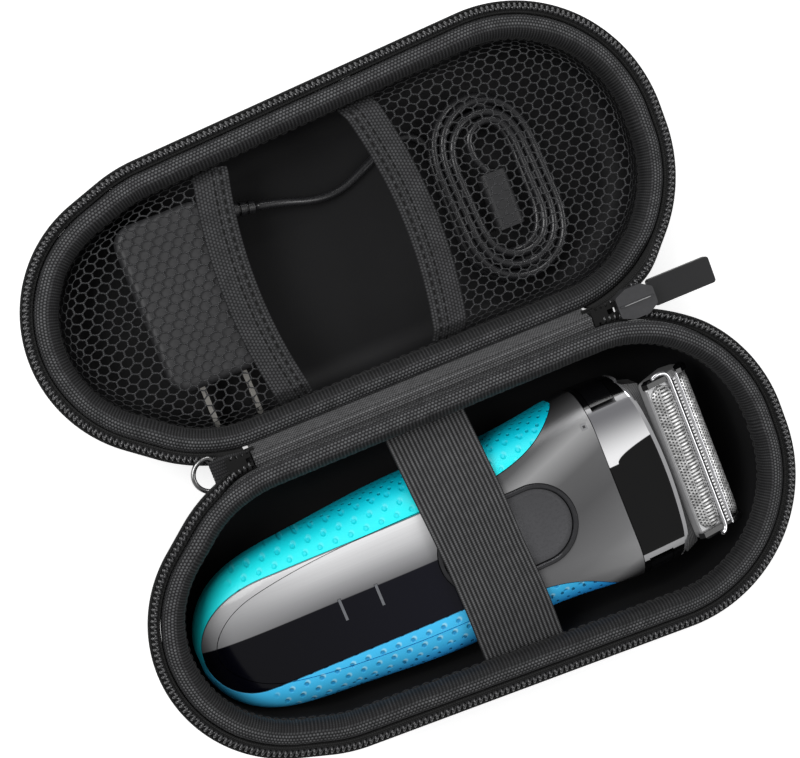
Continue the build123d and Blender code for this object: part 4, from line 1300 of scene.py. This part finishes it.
# ---------------------------------------- looks
def make_materials():
    faint = {"sheen": 0.03, "level": 0.25}
    return {
        "cover": cover_cloth(),
        "lining": lining_cloth(),
        "binding": binding_cloth(),
        "thread": woven("sewing_thread", (0.006, 0.006, 0.006), (0.04, 0.04, 0.042), 0.4, 0.3, **faint),
        "tape": woven("tape_cloth", (0.003, 0.003, 0.003), (0.02, 0.02, 0.02), 0.7, 0.6, **faint),
        "coil": plain("coil_nylon", (0.035, 0.035, 0.037), 0.2, vary=0.3, level=0.9),
        "hinge": woven("hinge_cloth", (0.006, 0.006, 0.006), (0.16, 0.16, 0.165), 0.9, 0.7, depth=0.14),
        "elastic": elastic_cloth(),
        "hem": hem_cloth(),
        "net": woven("net_cord", BLACK_THREAD, (0.085, 0.086, 0.09), 0.5, 0.5, depth=0.08, **faint),
        "webbing": woven("webbing_cloth", (0.004, 0.004, 0.004), (0.035, 0.035, 0.037), 0.6, 0.9, **faint),
        "cord": plain("cord_sheath", (0.022, 0.022, 0.024), 0.28, vary=0.3, level=0.8),
        "charger": plain("charger_plastic", (0.035, 0.035, 0.037), 0.5, vary=0.15),
        "blade": plain("blade_metal", (0.62, 0.60, 0.56), 0.3, metal=1.0, vary=0.1),
        "slider": plain("slider_paint", (0.055, 0.055, 0.058), 0.36, metal=0.3, vary=0.2),
        "pull": plain("pull_rubber", (0.011, 0.011, 0.012), 0.5, vary=0.2, level=0.35),
        "ring": plain("ring_nickel", (0.26, 0.26, 0.26), 0.22, metal=1.0, vary=0.3),
        "skin": shaver_skin(),
        "collar": collar_lacquer(),
        "saddle": saddle_lacquer(),
        "housing": plain("housing_plastic", (0.012, 0.012, 0.014), 0.35),
        "light": plain("light_lens", (0.16, 0.165, 0.18), 0.2),
        "trim": plain("trim_chrome", (0.72, 0.72, 0.74), 0.12, metal=0.8, vary=0.05),
        "release": plain("release_gloss", (0.003, 0.003, 0.0035), 0.12, level=0.35, coat=0.2),
        "chrome": plain("ring_chrome", (0.06, 0.06, 0.064), 0.22, metal=0.6, vary=0.2),
        "button": plain("button_lacquer", (0.10, 0.10, 0.106), 0.28, metal=0.4, vary=0.15),
        "skirt": plain("skirt_rubber", (0.075, 0.075, 0.077), 0.4),
        # The two foils are one steel, given a darker copy as painted shade and a lighter copy as painted
        # light.
        "foil_a": foil_metal("foil_painted_shade", (0.78, 0.78, 0.78), (0.02, 0.02, 0.02), 4.2),
        "foil_b": foil_metal("foil_painted_light", (0.95, 0.95, 0.95), (0.06, 0.06, 0.06), 0),
        "trimmer": plain("trimmer_steel", (0.80, 0.80, 0.81), 0.2, metal=0.6, vary=0.1),
        "bezel": plain("bezel_satin", (0.36, 0.36, 0.365), 0.3, metal=0.3, vary=0.1),
    }


def dress_nodes(look):
    """Gives the CAD's own pieces that stay their materials."""
    wear = {
        "tape": ("zip_end_left", "zip_end_right"),
        "slider": ("slider_body",),
        "pull": ("slider_pull",),
        "ring": ("key_ring",),
        "charger": ("charger_body", "cord_plug"),
        "blade": ("charger_blades",),
        "cord": ("charger_strain_relief",),
        "housing": ("shaver_housing",),
        "skin": ("shaver_front_panel", "shaver_grips"),
        "collar": ("shaver_collar",),
        "light": ("indicator_lights",),
        "saddle": ("head_saddle",),
        "trim": ("head_trim",),
        "release": ("release_button_left", "release_button_right"),
        "chrome": ("button_ring",),
        "button": ("power_button",),
    }
    for material, names in wear.items():
        for name in names:
            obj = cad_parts[name]
            obj.data.materials.clear()
            obj.data.materials.append(look[material])


# ---------------------------------------- floor, light, background
def make_stage():
    corners = [(-1500, -1500, 0), (1500, -1500, 0), (1500, 1500, 0), (-1500, 1500, 0)]
    floor = make_object("floor", corners, [(0, 1, 2, 3)], smooth=False)
    floor.data.materials.append(floor_white())


def area_light(name, at, aim, size, watts):
    data = bpy.data.lights.new(name, "AREA")
    data.shape = "RECTANGLE"
    data.size, data.size_y = size[0] * MM, size[1] * MM
    data.energy = watts
    lamp = bpy.data.objects.new(name, data)
    bpy.context.scene.collection.objects.link(lamp)
    lamp.location = Vector(at) * MM
    away = (Vector(aim) - Vector(at)).normalized()
    lamp.rotation_euler = away.to_track_quat("-Z", "Y").to_euler()


def make_lights():
    area_light("key", (-420, 260, 620), (0, 0, 20), (420, 420), 3.1)
    area_light("fill", (520, -160, 460), (20, -20, 20), (380, 380), 1.4)
    area_light("back", (120, 620, 420), (0, 40, 20), (520, 260), 1.7)


def make_world():
    """White where the camera or a clear piece looks at it, and a dim light otherwise."""
    world = bpy.data.worlds.new("studio")
    bpy.context.scene.world = world
    world.use_nodes = True
    k = Nodes(world.node_tree)
    back = k.tree.nodes["Background"]
    path = k.node("ShaderNodeLightPath")
    seen = k.most(k.out(path, "Is Camera Ray"), k.out(path, "Is Transmission Ray"))
    level = k.node("ShaderNodeMapRange", seen, named={"To Min": 0.3, "To Max": 1.0})
    k.feed(back.inputs["Color"], (1.0, 1.0, 1.0))
    k.feed(back.inputs["Strength"], k.out(level))
    bpy.context.scene.view_settings.view_transform = "Standard"


make_camera()
look = make_materials()
make_cord(look)
make_case(look)
make_hinge(look)
make_strap(look)
make_pockets(look)
make_web_loop(look)
make_head(look)
make_slider_ridge_highlight(look)
dress_nodes(look)
make_stage()
make_lights()
make_world()

bpy.context.view_layer.update()
